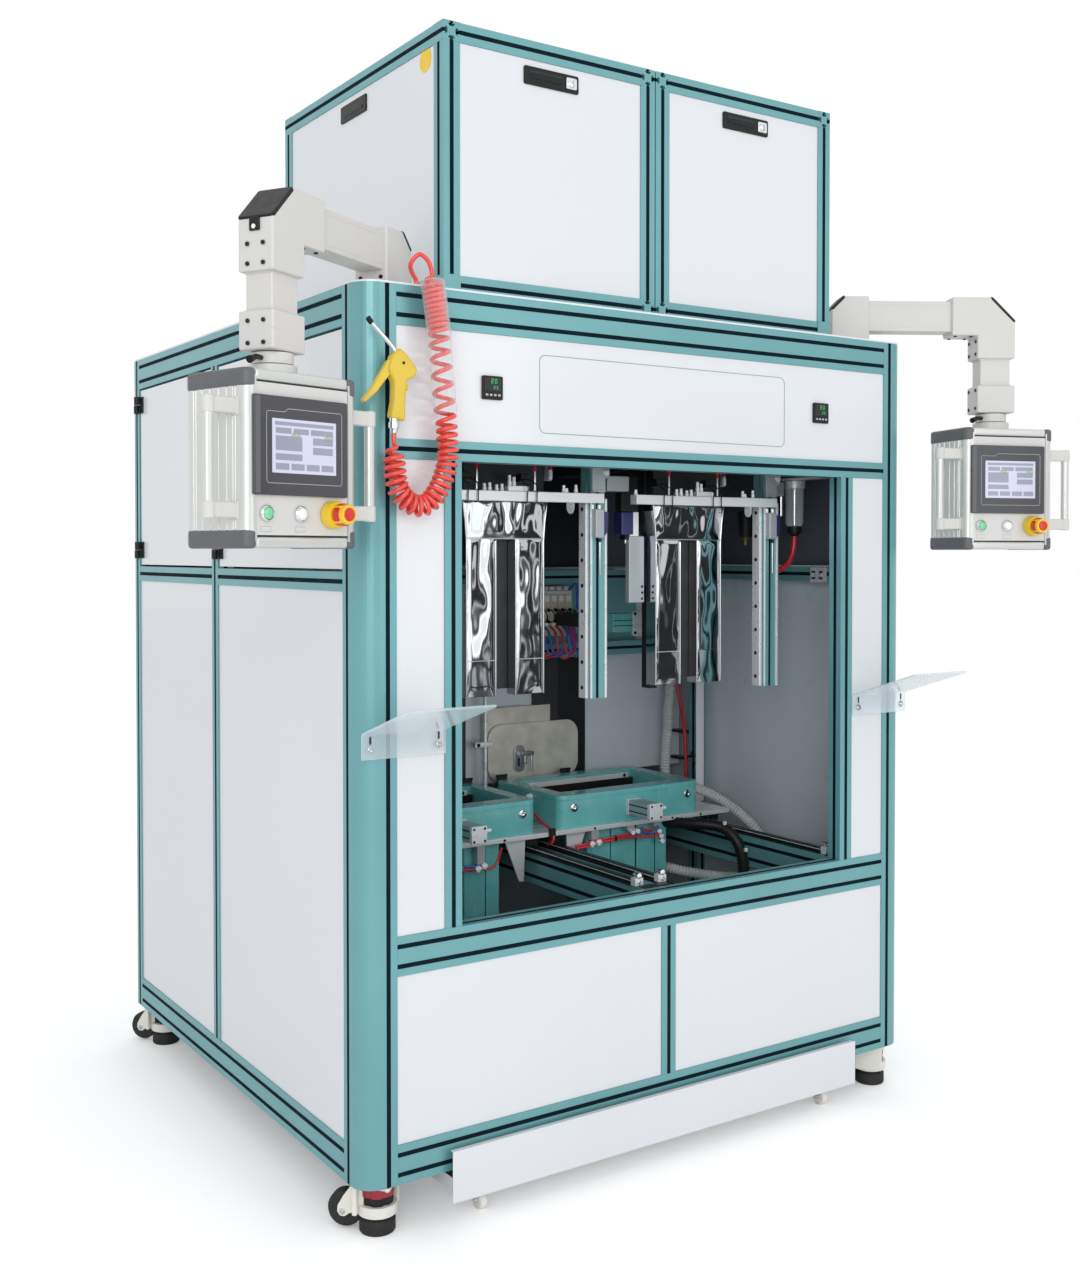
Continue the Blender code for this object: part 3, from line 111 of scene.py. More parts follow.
def finish_of(name, colour, rough, metal=0.0, coat=0.0, vary=0.05, vary_scale=5.0, rough_vary=0.12,
              bump=0.05, bump_scale=600.0, grain=0.0004, stretch=(1.0, 1.0, 1.0), alpha=1.0):
    """A procedural finish: colour and roughness drift with noise, and the bump has fine grain."""
    made = bpy.data.materials.new(name)
    made.use_nodes = True
    tree = made.node_tree
    shader = tree.nodes["Principled BSDF"]
    shader.inputs["Metallic"].default_value = metal
    shader.inputs["Coat Weight"].default_value = coat
    shader.inputs["Coat Roughness"].default_value = 0.06
    shader.inputs["Alpha"].default_value = alpha
    where = tree.nodes.new("ShaderNodeTexCoord")
    place = tree.nodes.new("ShaderNodeMapping")
    place.inputs["Scale"].default_value = stretch
    tree.links.new(where.outputs["Object"], place.inputs["Vector"])
    shades = tree.nodes.new("ShaderNodeValToRGB")
    low, high = shades.color_ramp.elements
    low.position, high.position = 0.3, 0.7
    low.color = (*[c * (1 - vary) for c in colour], 1.0)
    high.color = (*[min(1.0, c * (1 + vary)) for c in colour], 1.0)
    tree.links.new(noise(tree, place, vary_scale, 5), shades.inputs["Fac"])
    tree.links.new(shades.outputs["Color"], shader.inputs["Base Color"])
    fine = noise(tree, place, bump_scale, 3)
    broad = noise(tree, place, vary_scale * 3, 3)
    tree.links.new(spread(tree, broad, rough * (1 - rough_vary), min(1.0, rough * (1 + rough_vary))),
                   shader.inputs["Roughness"])
    if bump:
        relief = tree.nodes.new("ShaderNodeBump")
        relief.inputs["Strength"].default_value = bump
        relief.inputs["Distance"].default_value = grain
        tree.links.new(fine, relief.inputs["Height"])
        tree.links.new(relief.outputs["Normal"], shader.inputs["Normal"])
    return made


def clear_finish(name, colour, face, edge, rough=0.06):
    """Clear plastic: nearly open where it is seen face on, denser where it is seen edge on."""
    made = finish_of(name, colour, rough, coat=0.3, bump=0.15, bump_scale=9.0, grain=0.004)
    tree = made.node_tree
    shader = tree.nodes["Principled BSDF"]
    facing = tree.nodes.new("ShaderNodeLayerWeight")
    facing.inputs["Blend"].default_value = 0.35
    span = tree.nodes.new("ShaderNodeMapRange")
    span.inputs["To Min"].default_value = face
    span.inputs["To Max"].default_value = edge
    tree.links.new(facing.outputs["Facing"], span.inputs["Value"])
    tree.links.new(span.outputs["Result"], shader.inputs["Alpha"])
    return made


TEAL = finish_of("teal_anodised", srgb(109, 164, 168), 0.34, metal=0.25, vary=0.05, vary_scale=3.0,
                 bump=0.06, bump_scale=900.0)
# Near-black painted shade that stands for the inside of the profile slots.
SLOT_SHADE = finish_of("slot_shadow", srgb(5, 25, 33), 0.85, vary=0.15, vary_scale=12.0)
SLOT_SHADE.node_tree.nodes["Principled BSDF"].inputs["Specular IOR Level"].default_value = 0.12
WHITE = finish_of("white_lacquer", srgb(219, 221, 224), 0.2, coat=0.3, vary=0.015, vary_scale=1.5,
                  bump=0.05, bump_scale=7.0, grain=0.004)
CAST = finish_of("off_white_cast", srgb(206, 204, 200), 0.42, vary=0.025, bump=0.25, bump_scale=700.0)
ROOF_WHITE = finish_of("roof_sheet", srgb(222, 224, 226), 0.3, vary=0.03, bump=0.1)
GREY = finish_of("inner_grey", srgb(204, 212, 220), 0.3, vary=0.05, vary_scale=2.5, coat=0.3)
# A lighter copy of the white lacquer: painted light for a white bar that catches light through the opening.
WHITE_PAINTED_LIGHT = finish_of("white_bar_painted_light", srgb(246, 246, 252), 0.35, vary=0.03)
DARK = finish_of("dark_inside", srgb(30, 32, 35), 0.5, vary=0.15, vary_scale=8.0)
BLACK = finish_of("black_plastic", srgb(24, 24, 25), 0.42, vary=0.12, vary_scale=20.0, bump=0.2)
BLACK.node_tree.nodes["Principled BSDF"].inputs["Specular IOR Level"].default_value = 0.3
RUBBER = finish_of("black_rubber", srgb(30, 30, 31), 0.7, vary=0.15, vary_scale=30.0, bump=0.3)
CAP_GREY = finish_of("cap_grey", srgb(92, 93, 97), 0.45, vary=0.05, vary_scale=20.0, bump=0.25)
BOX_ALU = finish_of("console_aluminium", srgb(205, 207, 203), 0.3, metal=0.35, vary=0.03, bump=0.08,
                    bump_scale=300.0, stretch=(1.0, 1.0, 0.02))
PANEL_GREY = finish_of("console_panel", srgb(206, 205, 202), 0.35, vary=0.02, bump=0.12)
BEZEL = finish_of("screen_bezel", srgb(62, 62, 67), 0.3, coat=0.3, vary=0.04)
OUTLINE = finish_of("pale_line", srgb(176, 178, 186), 0.4)
GLASS = finish_of("screen_glass", srgb(206, 206, 228), 0.12, coat=0.8, vary=0.04, vary_scale=6.0)
FIELD = finish_of("screen_field", srgb(148, 150, 168), 0.15, coat=0.8, vary=0.05, vary_scale=12.0)
CHROME = finish_of("chrome", srgb(228, 229, 231), 0.07, metal=1.0, vary=0.02, bump=0.03)
MIRROR = finish_of("polished_steel", srgb(192, 194, 197), 0.04, metal=1.0, vary=0.02, bump=0.02)
STEEL = finish_of("brushed_steel", srgb(196, 198, 200), 0.26, metal=1.0, vary=0.05, bump=0.15,
                  bump_scale=500.0, stretch=(1.0, 1.0, 0.03))
ALU = finish_of("bright_aluminium", srgb(226, 228, 230), 0.28, metal=0.35, vary=0.04, bump=0.12,
                bump_scale=450.0, stretch=(0.05, 1.0, 1.0))
DULL_ALU = finish_of("grey_aluminium", srgb(172, 178, 182), 0.36, metal=0.35, vary=0.06, bump=0.1)
ENAMEL = finish_of("green_enamel", srgb(104, 182, 182), 0.25, coat=0.3, vary=0.1, vary_scale=18.0,
                   bump=0.25, bump_scale=60.0, grain=0.001)
CREAM = finish_of("castor_cream", srgb(226, 223, 214), 0.45, vary=0.04, bump=0.2)
CRIMSON = finish_of("crimson_wheel", srgb(158, 34, 52), 0.38, vary=0.08, vary_scale=25.0, bump=0.2)
YELLOW = finish_of("gun_yellow", srgb(218, 186, 52), 0.32, vary=0.05, vary_scale=20.0, bump=0.15)
STOP_YELLOW = finish_of("stop_yellow", srgb(236, 196, 40), 0.35, vary=0.04, vary_scale=30.0)
STOP_RED = finish_of("stop_red", srgb(206, 40, 38), 0.3, coat=0.3, vary=0.05, vary_scale=30.0)
HOSE_RED = finish_of("hose_red", srgb(232, 72, 60), 0.22, coat=0.4, vary=0.07, vary_scale=40.0)
TUBE_RED = finish_of("tube_red", srgb(196, 44, 54), 0.3, coat=0.3, vary=0.08, vary_scale=20.0)
TUBE_BLUE = finish_of("tube_blue", srgb(44, 92, 170), 0.28, coat=0.3, vary=0.08, vary_scale=20.0)
TUBE_GREY = finish_of("hose_grey", srgb(204, 207, 208), 0.35, coat=0.2, vary=0.08, vary_scale=20.0)
BEIGE = finish_of("valve_beige", srgb(196, 192, 172), 0.42, vary=0.05, vary_scale=25.0, bump=0.2)
GREEN_LENS = finish_of("green_lens", srgb(120, 205, 150), 0.15, coat=0.8, vary=0.05, vary_scale=60.0)
WHITE_LENS = finish_of("white_lens", srgb(236, 238, 240), 0.15, coat=0.8, vary=0.03, vary_scale=60.0)
SCREEN_GREEN = finish_of("screen_green", srgb(150, 176, 84), 0.3, vary=0.05)
GREEN_DIGIT = finish_of("green_digit", srgb(96, 220, 120), 0.3, vary=0.05)
LINE_GREEN = finish_of("grey_green_line", srgb(136, 162, 150), 0.4, vary=0.05)
STEEL_PLATE = finish_of("brushed_plate", srgb(212, 208, 197), 0.34, metal=0.35, vary=0.14, vary_scale=22.0,
                        bump=0.12, bump_scale=240.0)
SLATE = finish_of("slate_sheet", srgb(92, 98, 108), 0.35, vary=0.06, vary_scale=3.0, coat=0.2)
NAVY = finish_of("navy_plastic", srgb(38, 44, 96), 0.35, vary=0.08, vary_scale=20.0, coat=0.2)
SOLENOID = finish_of("solenoid_white", srgb(214, 214, 208), 0.4, vary=0.05, vary_scale=30.0)
BRASS = finish_of("dull_brass", srgb(148, 132, 84), 0.35, metal=0.7, vary=0.1, vary_scale=30.0)
LAVENDER = finish_of("lavender_plastic", srgb(168, 164, 188), 0.35, vary=0.06, vary_scale=25.0)
CLEAR = clear_finish("clear_acrylic", srgb(226, 236, 240), 0.22, 0.85)
FILM = clear_finish("clear_film", srgb(236, 242, 246), 0.1, 0.6)
BOWL = clear_finish("filter_bowl", srgb(196, 206, 210), 0.45, 0.95)


def frame_of(origin, x_axis, y_axis, z_axis):
    """A placing matrix from an origin and three directions."""
    turn = Matrix((x_axis, y_axis, z_axis)).transposed().to_4x4()
    return Matrix.Translation(origin) @ turn


def at(x, y, z):
    """A shift to a place."""
    return Matrix.Translation((x, y, z))


def facing_right(x, y, z):
    """Placing of an outline in Y and Z that is pulled or turned about +X."""
    return frame_of((x, y, z), (0, 1, 0), (0, 0, 1), (1, 0, 0))


def facing_left(x, y, z):
    """Placing of an outline in -Y and Z that is pulled or turned about -X."""
    return frame_of((x, y, z), (0, -1, 0), (0, 0, 1), (-1, 0, 0))


class Shape:
    """Gathers bevelled solids into one mesh with one or more finishes."""

    def __init__(self, name, body, place=MACHINE):
        self.name = name
        self.body = body
        self.place = place
        self.cage = bmesh.new()
        self.paints = []
        self.index = 0

    def use(self, paint):
        """The finish of what is added from here on."""
        if paint not in self.paints:
            self.paints.append(paint)
        self.index = self.paints.index(paint)
        return self

    def add(self, part, soft=0.0, steps=2, matrix=None):
        """Take in one solid, with its sharp edges rounded by soft."""
        bmesh.ops.recalc_face_normals(part, faces=part.faces)
        if soft:
            sharp = [e for e in part.edges if len(e.link_faces) == 2 and e.calc_face_angle(0.0) > 0.5]
            bmesh.ops.bevel(part, geom=sharp, offset=soft, segments=steps, profile=0.5, affect="EDGES",
                            clamp_overlap=True)
        part.transform(self.place @ (matrix or Matrix.Identity(4)))
        for face in part.faces:
            face.material_index = self.index
            face.smooth = True
        mesh = bpy.data.meshes.new("part")
        part.to_mesh(mesh)
        part.free()
        self.cage.from_mesh(mesh)
        bpy.data.meshes.remove(mesh)
        return self

    def box(self, low, high, soft=0.001, steps=2, matrix=None):
        """A cuboid between two corners."""
        part = bmesh.new()
        size = [abs(b - a) for a, b in zip(low, high)]
        middle = [(a + b) / 2 for a, b in zip(low, high)]
        bmesh.ops.create_cube(part, size=1.0,
                              matrix=Matrix.Translation(middle) @ Matrix.Diagonal((*size, 1.0)))
        return self.add(part, soft, steps, matrix)

    def boxes(self, paint, *rows):
        """Cuboids of one finish: low corner, high corner, then softness and steps where they matter."""
        if paint:
            self.use(paint)
        for row in rows:
            self.box(row[:3], row[3:6], *row[6:])
        return self

    def rod(self, start, end, radius, soft=0.0, sides=24, end_radius=None, steps=1, matrix=None):
        """A round bar or cone between two points."""
        part = bmesh.new()
        start, end = Vector(start), Vector(end)
        turn = (end - start).to_track_quat("Z", "Y").to_matrix().to_4x4()
        bmesh.ops.create_cone(part, cap_ends=True, segments=sides, radius1=radius,
                              radius2=radius if end_radius is None else end_radius,
                              depth=(end - start).length,
                              matrix=Matrix.Translation((start + end) / 2) @ turn)
        return self.add(part, soft, steps, matrix)

    def prism(self, outline, depth, matrix, soft=0.0, steps=2):
        """An outline in the local XY plane, pulled along local Z."""
        part = bmesh.new()
        low = [part.verts.new((x, y, 0.0)) for x, y in outline]
        high = [part.verts.new((x, y, depth)) for x, y in outline]
        part.faces.new(low)
        part.faces.new(high)
        for k in range(len(outline)):
            other = (k + 1) % len(outline)
            part.faces.new((low[k], low[other], high[other], high[k]))
        return self.add(part, soft, steps, matrix)

    def lathe(self, profile, matrix, sides=28):
        """A profile of radius and height, turned about local Z. Open ends are closed flat."""
        part = bmesh.new()
        rings = []
        for radius, height in profile:
            if radius < 1e-6:
                rings.append([part.verts.new((0.0, 0.0, height))])
            else:
                rings.append([part.verts.new((radius * math.cos(k * 2 * math.pi / sides),
                                              radius * math.sin(k * 2 * math.pi / sides),
                                              height)) for k in range(sides)])
        for one, two in zip(rings, rings[1:]):
            for k in range(sides):
                other = (k + 1) % sides
                corners = [one[k % len(one)], one[other % len(one)], two[other % len(two)],
                           two[k % len(two)]]
                part.faces.new(list(dict.fromkeys(corners)))
        for ring in (rings[0], rings[-1]):
            if len(ring) > 1:
                part.faces.new(ring)
        return self.add(part, matrix=matrix)

    def tube(self, points, radius, sides=10, matrix=None):
        """A round tube through points, closed at both ends."""
        part = bmesh.new()
        points = [Vector(p) for p in points]
        count = len(points)
        radii = radius if isinstance(radius, (list, tuple)) else [radius] * count
        side = None
        rings = []
        for k, point in enumerate(points):
            way = (points[min(k + 1, count - 1)] - points[max(k - 1, 0)]).normalized()
            if side is None:
                side = way.orthogonal().normalized()
            side = (side - way * side.dot(way)).normalized()
            up = way.cross(side)
            rings.append([part.verts.new(point + radii[k] * (side * math.cos(t * 2 * math.pi / sides)
                                                             + up * math.sin(t * 2 * math.pi / sides)))
                          for t in range(sides)])
        for one, two in zip(rings, rings[1:]):
            for t in range(sides):
                other = (t + 1) % sides
                part.faces.new((one[t], one[other], two[other], two[t]))
        part.faces.new(rings[0])
        part.faces.new(rings[-1])
        return self.add(part, matrix=matrix)

    def screw(self, point, way, radius=0.004, height=0.004):
        """A socket-head screw standing on a face."""
        turn = Vector(way).to_track_quat("Z", "Y").to_matrix().to_4x4()
        socket = radius * 0.45
        profile = [(radius, 0.0), (radius, height * 0.8), (radius * 0.9, height), (socket, height),
                   (socket, height * 0.4), (0.0, height * 0.3)]
        return self.lathe(profile, Matrix.Translation(point) @ turn, 16)

    def make(self, *replaced):
        """The finished object, riding on its body and standing for the replaced nodes."""
        mesh = bpy.data.meshes.new(self.name)
        self.cage.to_mesh(mesh)
        self.cage.free()
        for paint in self.paints:
            mesh.materials.append(paint)
        mesh.set_sharp_from_angle(angle=math.radians(50.0))
        obj = bpy.data.objects.new(self.name, mesh)
        bpy.context.scene.collection.objects.link(obj)
        even = obj.modifiers.new("even_normals", "WEIGHTED_NORMAL")
        even.keep_sharp = True
        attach(obj, self.body)
        if replaced:
            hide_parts(*replaced)
        return obj


def smooth_path(points, steps=8):
    """Points on a smooth curve through the given ones."""
    points = [Vector(p) for p in points]
    ends = [2 * points[0] - points[1]] + points + [2 * points[-1] - points[-2]]
    made = []
    for k in range(1, len(ends) - 2):
        a, b, c, d = ends[k - 1:k + 3]
        for step in range(steps):
            t = step / steps
            made.append(0.5 * (2 * b + (c - a) * t + (2 * a - 5 * b + 4 * c - d) * t * t
                               + (3 * b - a - 3 * c + d) * t ** 3))
    return made + [points[-1]]


def rounded_outline(x_low, x_high, y_low, y_high, radius, steps=5):
    """A rectangle with rounded corners."""
    outline = []
    for x, y, start in ((x_low + radius, y_low + radius, 180), (x_high - radius, y_low + radius, 270),
                        (x_high - radius, y_high - radius, 0), (x_low + radius, y_high - radius, 90)):
        for k in range(steps + 1):
            turn = math.radians(start + 90 * k / steps)
            outline.append((x + radius * math.cos(turn), y + radius * math.sin(turn)))
    return outline


def plate_outline(half_width, half_height, radius, steps=5):
    """A rounded rectangle about the middle."""
    return rounded_outline(-half_width, half_width, -half_height, half_height, radius, steps)


UPRIGHT = frame_of((0, 0, 0), (1, 0, 0), (0, 0, 1), (0, -1, 0))


def on_front(x, y, z):
    """Placing of a plate whose outline lies in the front plane and which stands out towards -Y."""
    return Matrix.Translation((x, y, z)) @ UPRIGHT


def segment_bars(digit, size):
    """The lit bars of one generic seven-segment digit: low z, high z, low x and high x."""
    lit = {"0": "abcdef", "2": "abdeg", "5": "acdfg"}[digit]
    wide, tall, line = size * 0.5, size, size * 0.07
    bars = {"a": (0, tall, wide, tall), "b": (wide, tall / 2, wide, tall), "c": (wide, 0, wide, tall / 2),
            "d": (0, 0, wide, 0), "e": (0, 0, 0, tall / 2), "f": (0, tall / 2, 0, tall),
            "g": (0, tall / 2, wide, tall / 2)}
    return [(bars[k][1] - line, bars[k][3] + line, bars[k][0] - line, bars[k][2] + line) for k in lit]


# ---------------------------------------------------------------- camera, light and floor

def make_camera():
    """The camera at the photograph's angle."""
    data = bpy.data.cameras.new("camera")
    data.lens = 39.16
    data.sensor_width = 36.0
    data.shift_y = -0.0437
    camera = bpy.data.objects.new("camera", data)
    camera.location = (-1.9817, -3.0233, 1.3735)
    camera.rotation_euler = (math.radians(90.0 - 1.159), 0.0, math.radians(-33.677))
    bpy.context.scene.collection.objects.link(camera)
    bpy.context.scene.camera = camera


def make_world():
    """Even studio light on the object, plain white where the camera and the gloss look past it."""
    world = bpy.data.worlds.new("studio")
    bpy.context.scene.world = world
    world.use_nodes = True
    tree = world.node_tree
    tree.nodes.clear()
    rays = tree.nodes.new("ShaderNodeLightPath")
    seen = tree.nodes.new("ShaderNodeMath")
    seen.operation = "MAXIMUM"
    shiny = tree.nodes.new("ShaderNodeMath")
    shiny.operation = "MAXIMUM"
    tree.links.new(rays.outputs["Is Camera Ray"], seen.inputs[0])
    tree.links.new(rays.outputs["Is Glossy Ray"], seen.inputs[1])
    tree.links.new(seen.outputs["Value"], shiny.inputs[0])
    tree.links.new(rays.outputs["Is Transmission Ray"], shiny.inputs[1])
    room = tree.nodes.new("ShaderNodeBackground")
    room.inputs["Color"].default_value = (0.96, 0.98, 1.0, 1.0)
    room.inputs["Strength"].default_value = 0.82
    white = tree.nodes.new("ShaderNodeBackground")
    white.inputs["Color"].default_value = (1.0, 1.0, 1.0, 1.0)
    white.inputs["Strength"].default_value = 1.0
    choice = tree.nodes.new("ShaderNodeMixShader")
    out = tree.nodes.new("ShaderNodeOutputWorld")
    tree.links.new(shiny.outputs["Value"], choice.inputs["Fac"])
    tree.links.new(room.outputs["Background"], choice.inputs[1])
    tree.links.new(white.outputs["Background"], choice.inputs[2])
    tree.links.new(choice.outputs["Shader"], out.inputs["Surface"])


def lamp(name, place, target, size, share):
    """A square lamp that lights its target with a share of the plain level."""
    data = bpy.data.lights.new(name, "AREA")
    data.shape = "SQUARE"
    data.size = size
    way = Vector(target) - Vector(place)
    data.energy = share * math.pi ** 2 * way.length_squared
    made = bpy.data.objects.new(name, data)
    made.location = place
    made.rotation_euler = way.to_track_quat("-Z", "Y").to_euler()
    bpy.context.scene.collection.objects.link(made)


def make_floor():
    """A large pale floor."""
    mesh = bpy.data.meshes.new("floor")
    cage = bmesh.new()
    bmesh.ops.create_grid(cage, x_segments=8, y_segments=8, size=30.0)
    cage.to_mesh(mesh)
    cage.free()
    paint = finish_of("pale_floor", (0.995, 0.995, 0.995), 0.9, vary=0.0, bump=0.02)
    mesh.materials.append(paint)
    glow = paint.node_tree.nodes["Principled BSDF"].inputs
    glow["Emission Color"].default_value = (1.0, 1.0, 1.0, 1.0)
    rays = paint.node_tree.nodes.new("ShaderNodeLightPath")
    share = paint.node_tree.nodes.new("ShaderNodeMath")
    share.operation = "MULTIPLY"
    share.inputs[1].default_value = 0.2
    paint.node_tree.links.new(rays.outputs["Is Camera Ray"], share.inputs[0])
    paint.node_tree.links.new(share.outputs["Value"], glow["Emission Strength"])
    floor = bpy.data.objects.new("floor", mesh)
    bpy.context.scene.collection.objects.link(floor)


def reflection_card(name, middle, width, height, paint):
    """A plain studio card behind the camera that only glossy surfaces show."""
    mesh = bpy.data.meshes.new(name)
    cage = bmesh.new()
    bmesh.ops.create_grid(cage, x_segments=2, y_segments=6, size=0.5)
    bmesh.ops.scale(cage, vec=(width, height, 1.0), verts=cage.verts)
    turn = Matrix.Rotation(math.atan2(middle[0], -middle[1]), 4, "Z") @ Matrix.Rotation(math.radians(90), 4,
                                                                                        "X")
    bmesh.ops.transform(cage, matrix=turn, verts=cage.verts)
    cage.to_mesh(mesh)
    cage.free()
    mesh.materials.append(paint)
    card = bpy.data.objects.new(name, mesh)
    card.location = middle
    card.visible_camera = False
    card.visible_diffuse = False
    card.visible_shadow = False
    card.visible_transmission = False
    bpy.context.scene.collection.objects.link(card)


make_camera()
make_world()
CARDS = ((0.2, 0.35, 2.4, DARK), (0.75, 0.25, 2.0, CAP_GREY), (1.3, 0.5, 2.6, DARK),
         (1.95, 0.35, 1.6, TEAL), (2.45, 0.4, 2.2, DARK), (2.9, 0.25, 2.6, CAP_GREY),
         (3.35, 0.35, 2.4, DARK), (3.85, 0.25, 1.2, CAP_GREY), (4.4, 0.7, 2.4, DARK), (5.5, 0.9, 2.4, DARK))
for card_number, (card_x, card_width, card_height, card_paint) in enumerate(CARDS):
    reflection_card("card_%d" % card_number, (card_x, -5.6, card_height / 2 + 0.02), card_width,
                    card_height, card_paint)
for card_number, card_z in enumerate((0.3, 0.62)):
    reflection_card("low_card_%d" % card_number, (2.9, -5.3, card_z), 5.0, 0.09, DARK)
lamp("key", (-3.4, -4.8, 2.6), (0.2, 0.2, 1.0), 2.6, 0.2)
lamp("fill", (1.2, -5.0, 1.8), (0.2, 0.4, 1.0), 2.4, 0.09)
lamp("top", (0.5, 0.5, 6.0), (0.0, 0.0, 1.0), 4.0, 0.05)
make_floor()
bpy.context.scene.view_settings.view_transform = "Standard"


# ---------------------------------------------------------------- spring hose and air gun

def coil_route():
    """Centre line of the coil: place, spacing of the turns and share of the coil's radius."""
    stretch = ((-0.722, 1.59, 0.03, 0.0), (-0.7215, 1.572, 0.02, 0.6), (-0.721, 1.548, 0.0145, 1.0),
               (-0.714, 1.502, 0.0145, 1.0), (-0.695, 1.476, 0.0145, 1.0), (-0.669, 1.465, 0.0145, 1.0),
               (-0.643, 1.473, 0.0145, 1.0), (-0.617, 1.508, 0.0145, 1.0), (-0.602, 1.556, 0.014, 1.0),
               (-0.603, 1.618, 0.0155, 1.0), (-0.606, 1.645, 0.026, 1.0), (-0.609, 1.675, 0.034, 1.0),
               (-0.614, 1.733, 0.034, 1.0), (-0.62, 1.796, 0.024, 1.0), (-0.623, 1.822, 0.0098, 1.0),
               (-0.628, 1.862, 0.0098, 1.0), (-0.634, 1.896, 0.0098, 1.0), (-0.6355, 1.908, 0.014, 0.8),
               (-0.637, 1.925, 0.03, 0.0))
    places = smooth_path([(x, 0.0, z) for x, z, _, _ in stretch], 24)
    shares = []
    for (_, _, gap, wide), (_, _, next_gap, next_wide) in zip(stretch, stretch[1:]):
        for step in range(24):
            t = step / 24
            shares.append((gap + (next_gap - gap) * t, wide + (next_wide - wide) * t))
    shares.append(stretch[-1][2:])
    return places, shares


def coil_points(per_turn=20):
    """The hose's own path, wound about the coil's centre line."""
    places, shares = coil_route()
    made = []
    phase = 0.0
    done = 0.0
    for k in range(len(places) - 1):
        here, there = places[k], places[k + 1]
        way = (there - here).normalized()
        out = Vector((0.0, 1.0, 0.0))
        across = way.cross(out)
        length = (there - here).length
        gap = (shares[k][0] + shares[k + 1][0]) / 2
        turn = 2 * math.pi * length / gap
        step = 2 * math.pi / per_turn
        while done <= phase + turn:
            t = (done - phase) / turn
            wide = shares[k][1] + (shares[k + 1][1] - shares[k][1]) * t
            wide = wide * wide * (3 - 2 * wide) * COIL_CENTRE
            middle = here.lerp(there, t)
            made.append(middle + wide * (out * math.cos(done) + across * math.sin(done)))
            done += step
        phase += turn
    return made


def spring_hose():
    """The red spring hose as one long curve from the gun to its hole in the roof."""
    start = Vector((-0.722, GUN_Y, 1.6047))
    path = [start, Vector((-0.722, GUN_Y, 1.5975))]
    path += [Vector((p.x, GUN_Y + p.y, p.z)) for p in coil_points()]
    path += smooth_path([(-0.637, GUN_Y, 1.93), (-0.641, -0.033, 1.95), (-0.654, -0.02, 1.964),
                         (-0.666, -0.006, 1.945), (-0.652, 0.01, 1.93), (-0.643, 0.014, 1.921),
                         (-0.642, 0.014, 1.9096)], 6)
    path = [Vector((p.x, p.y + Y0, p.z)) for p in path]
    kept = [path[0]]
    for point in path[1:]:
        if (point - kept[-1]).length > 0.0015:
            kept.append(point)
    data = bpy.data.curves.new("spring_hose_coil", "CURVE")
    data.dimensions = "3D"
    data.bevel_depth = HOSE_RADIUS
    data.bevel_resolution = 3
    data.use_fill_caps = True
    spline = data.splines.new("POLY")
    spline.points.add(len(kept) - 1)
    for point, place in zip(spline.points, kept):
        point.co = (*place, 1.0)
    spline.use_smooth = True
    data.materials.append(HOSE_RED)
    hose = bpy.data.objects.new("spring_hose_coil", data)
    bpy.context.scene.collection.objects.link(hose)
    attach(hose, "machine")
    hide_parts("spring_hose")


def hose_sleeve():
    """The clear film sleeve over the upper half of the coil, with a domed top."""
    sleeve = Shape("hose_sleeve", "machine", at(0.0, Y0, 0.0)).use(FILM)
    path = smooth_path([(-0.606, GUN_Y, 1.65), (-0.609, GUN_Y, 1.675), (-0.614, GUN_Y, 1.733),
                        (-0.623, GUN_Y, 1.828), (-0.634, GUN_Y, 1.9), (-0.6365, GUN_Y, 1.917)], 6)
    radii = [0.0245] * (len(path) - 6) + [0.0242, 0.0235, 0.022, 0.019, 0.014, 0.008]
    sleeve.tube(path, radii, 28)
    sleeve.make()


def air_gun():
    """The yellow blow gun: body, grip, lever, bent nozzle and hose fitting."""
    place = at(0.0, Y0 + GUN_Y, 0.0)
    gun = Shape("air_gun_body", "machine", place).use(YELLOW)
    body = [(-0.73, 1.756), (-0.712, 1.772), (-0.694, 1.757), (-0.672, 1.729), (-0.68, 1.717),
            (-0.697, 1.708), (-0.701, 1.664), (-0.7005, 1.629), (-0.7335, 1.635), (-0.727, 1.668),
            (-0.725, 1.702), (-0.738, 1.728)]
    gun.prism(body, 0.024, on_front(0.0, 0.012, 0.0), 0.006, 3)
    lever = [(-0.722, 1.752), (-0.737, 1.746), (-0.77, 1.693), (-0.792, 1.666), (-0.787, 1.661),
             (-0.762, 1.682), (-0.728, 1.724)]
    gun.prism(lever, 0.013, on_front(0.0, 0.0065, 0.0), 0.002, 2)
    gun.box((-0.7, -0.006, 1.69), (-0.692, -GUN_Y - 0.0008, 1.702), 0.002, 2)
    gun.use(CHROME)
    gun.tube(smooth_path([(-0.716, 0.0, 1.762), (-0.727, 0.0, 1.776), (-0.748, 0.0, 1.796),
                          (-0.769, 0.0, 1.815)], 5), 0.0042, 12)
    gun.lathe([(0.0085, 0.0), (0.0085, 0.008), (0.0105, 0.009), (0.0105, 0.02), (0.0085, 0.021),
               (0.0065, 0.0295)], frame_of((-0.722, 0.0, 1.6355), (1, 0, 0), (0, -1, 0), (0, 0, -1)), 16)
    gun.use(BLACK)
    gun.rod((-0.769, 0.0, 1.815), (-0.778, 0.0, 1.826), 0.0055, 0.0015, 16)
    gun.screw((-0.706, -0.012, 1.742), (0, -1, 0), 0.003, 0.001)
    gun.make("air_gun")


spring_hose()
hose_sleeve()
air_gun()


# ---------------------------------------------------------------- control arms and boxes

def arm_place(side):
    """Placing with local X along the arm's reach and local Z up, at the base axis."""
    turn = math.atan2(-math.sin(ARM_ANGLE), side * math.cos(ARM_ANGLE))
    return at(side * ARM_X, Y0 + ARM_Y, Z0) @ Matrix.Rotation(turn, 4, "Z")


def side_on(half):
    """Placing of an arm outline, centred across the arm."""
    return on_front(0.0, half, 0.0)


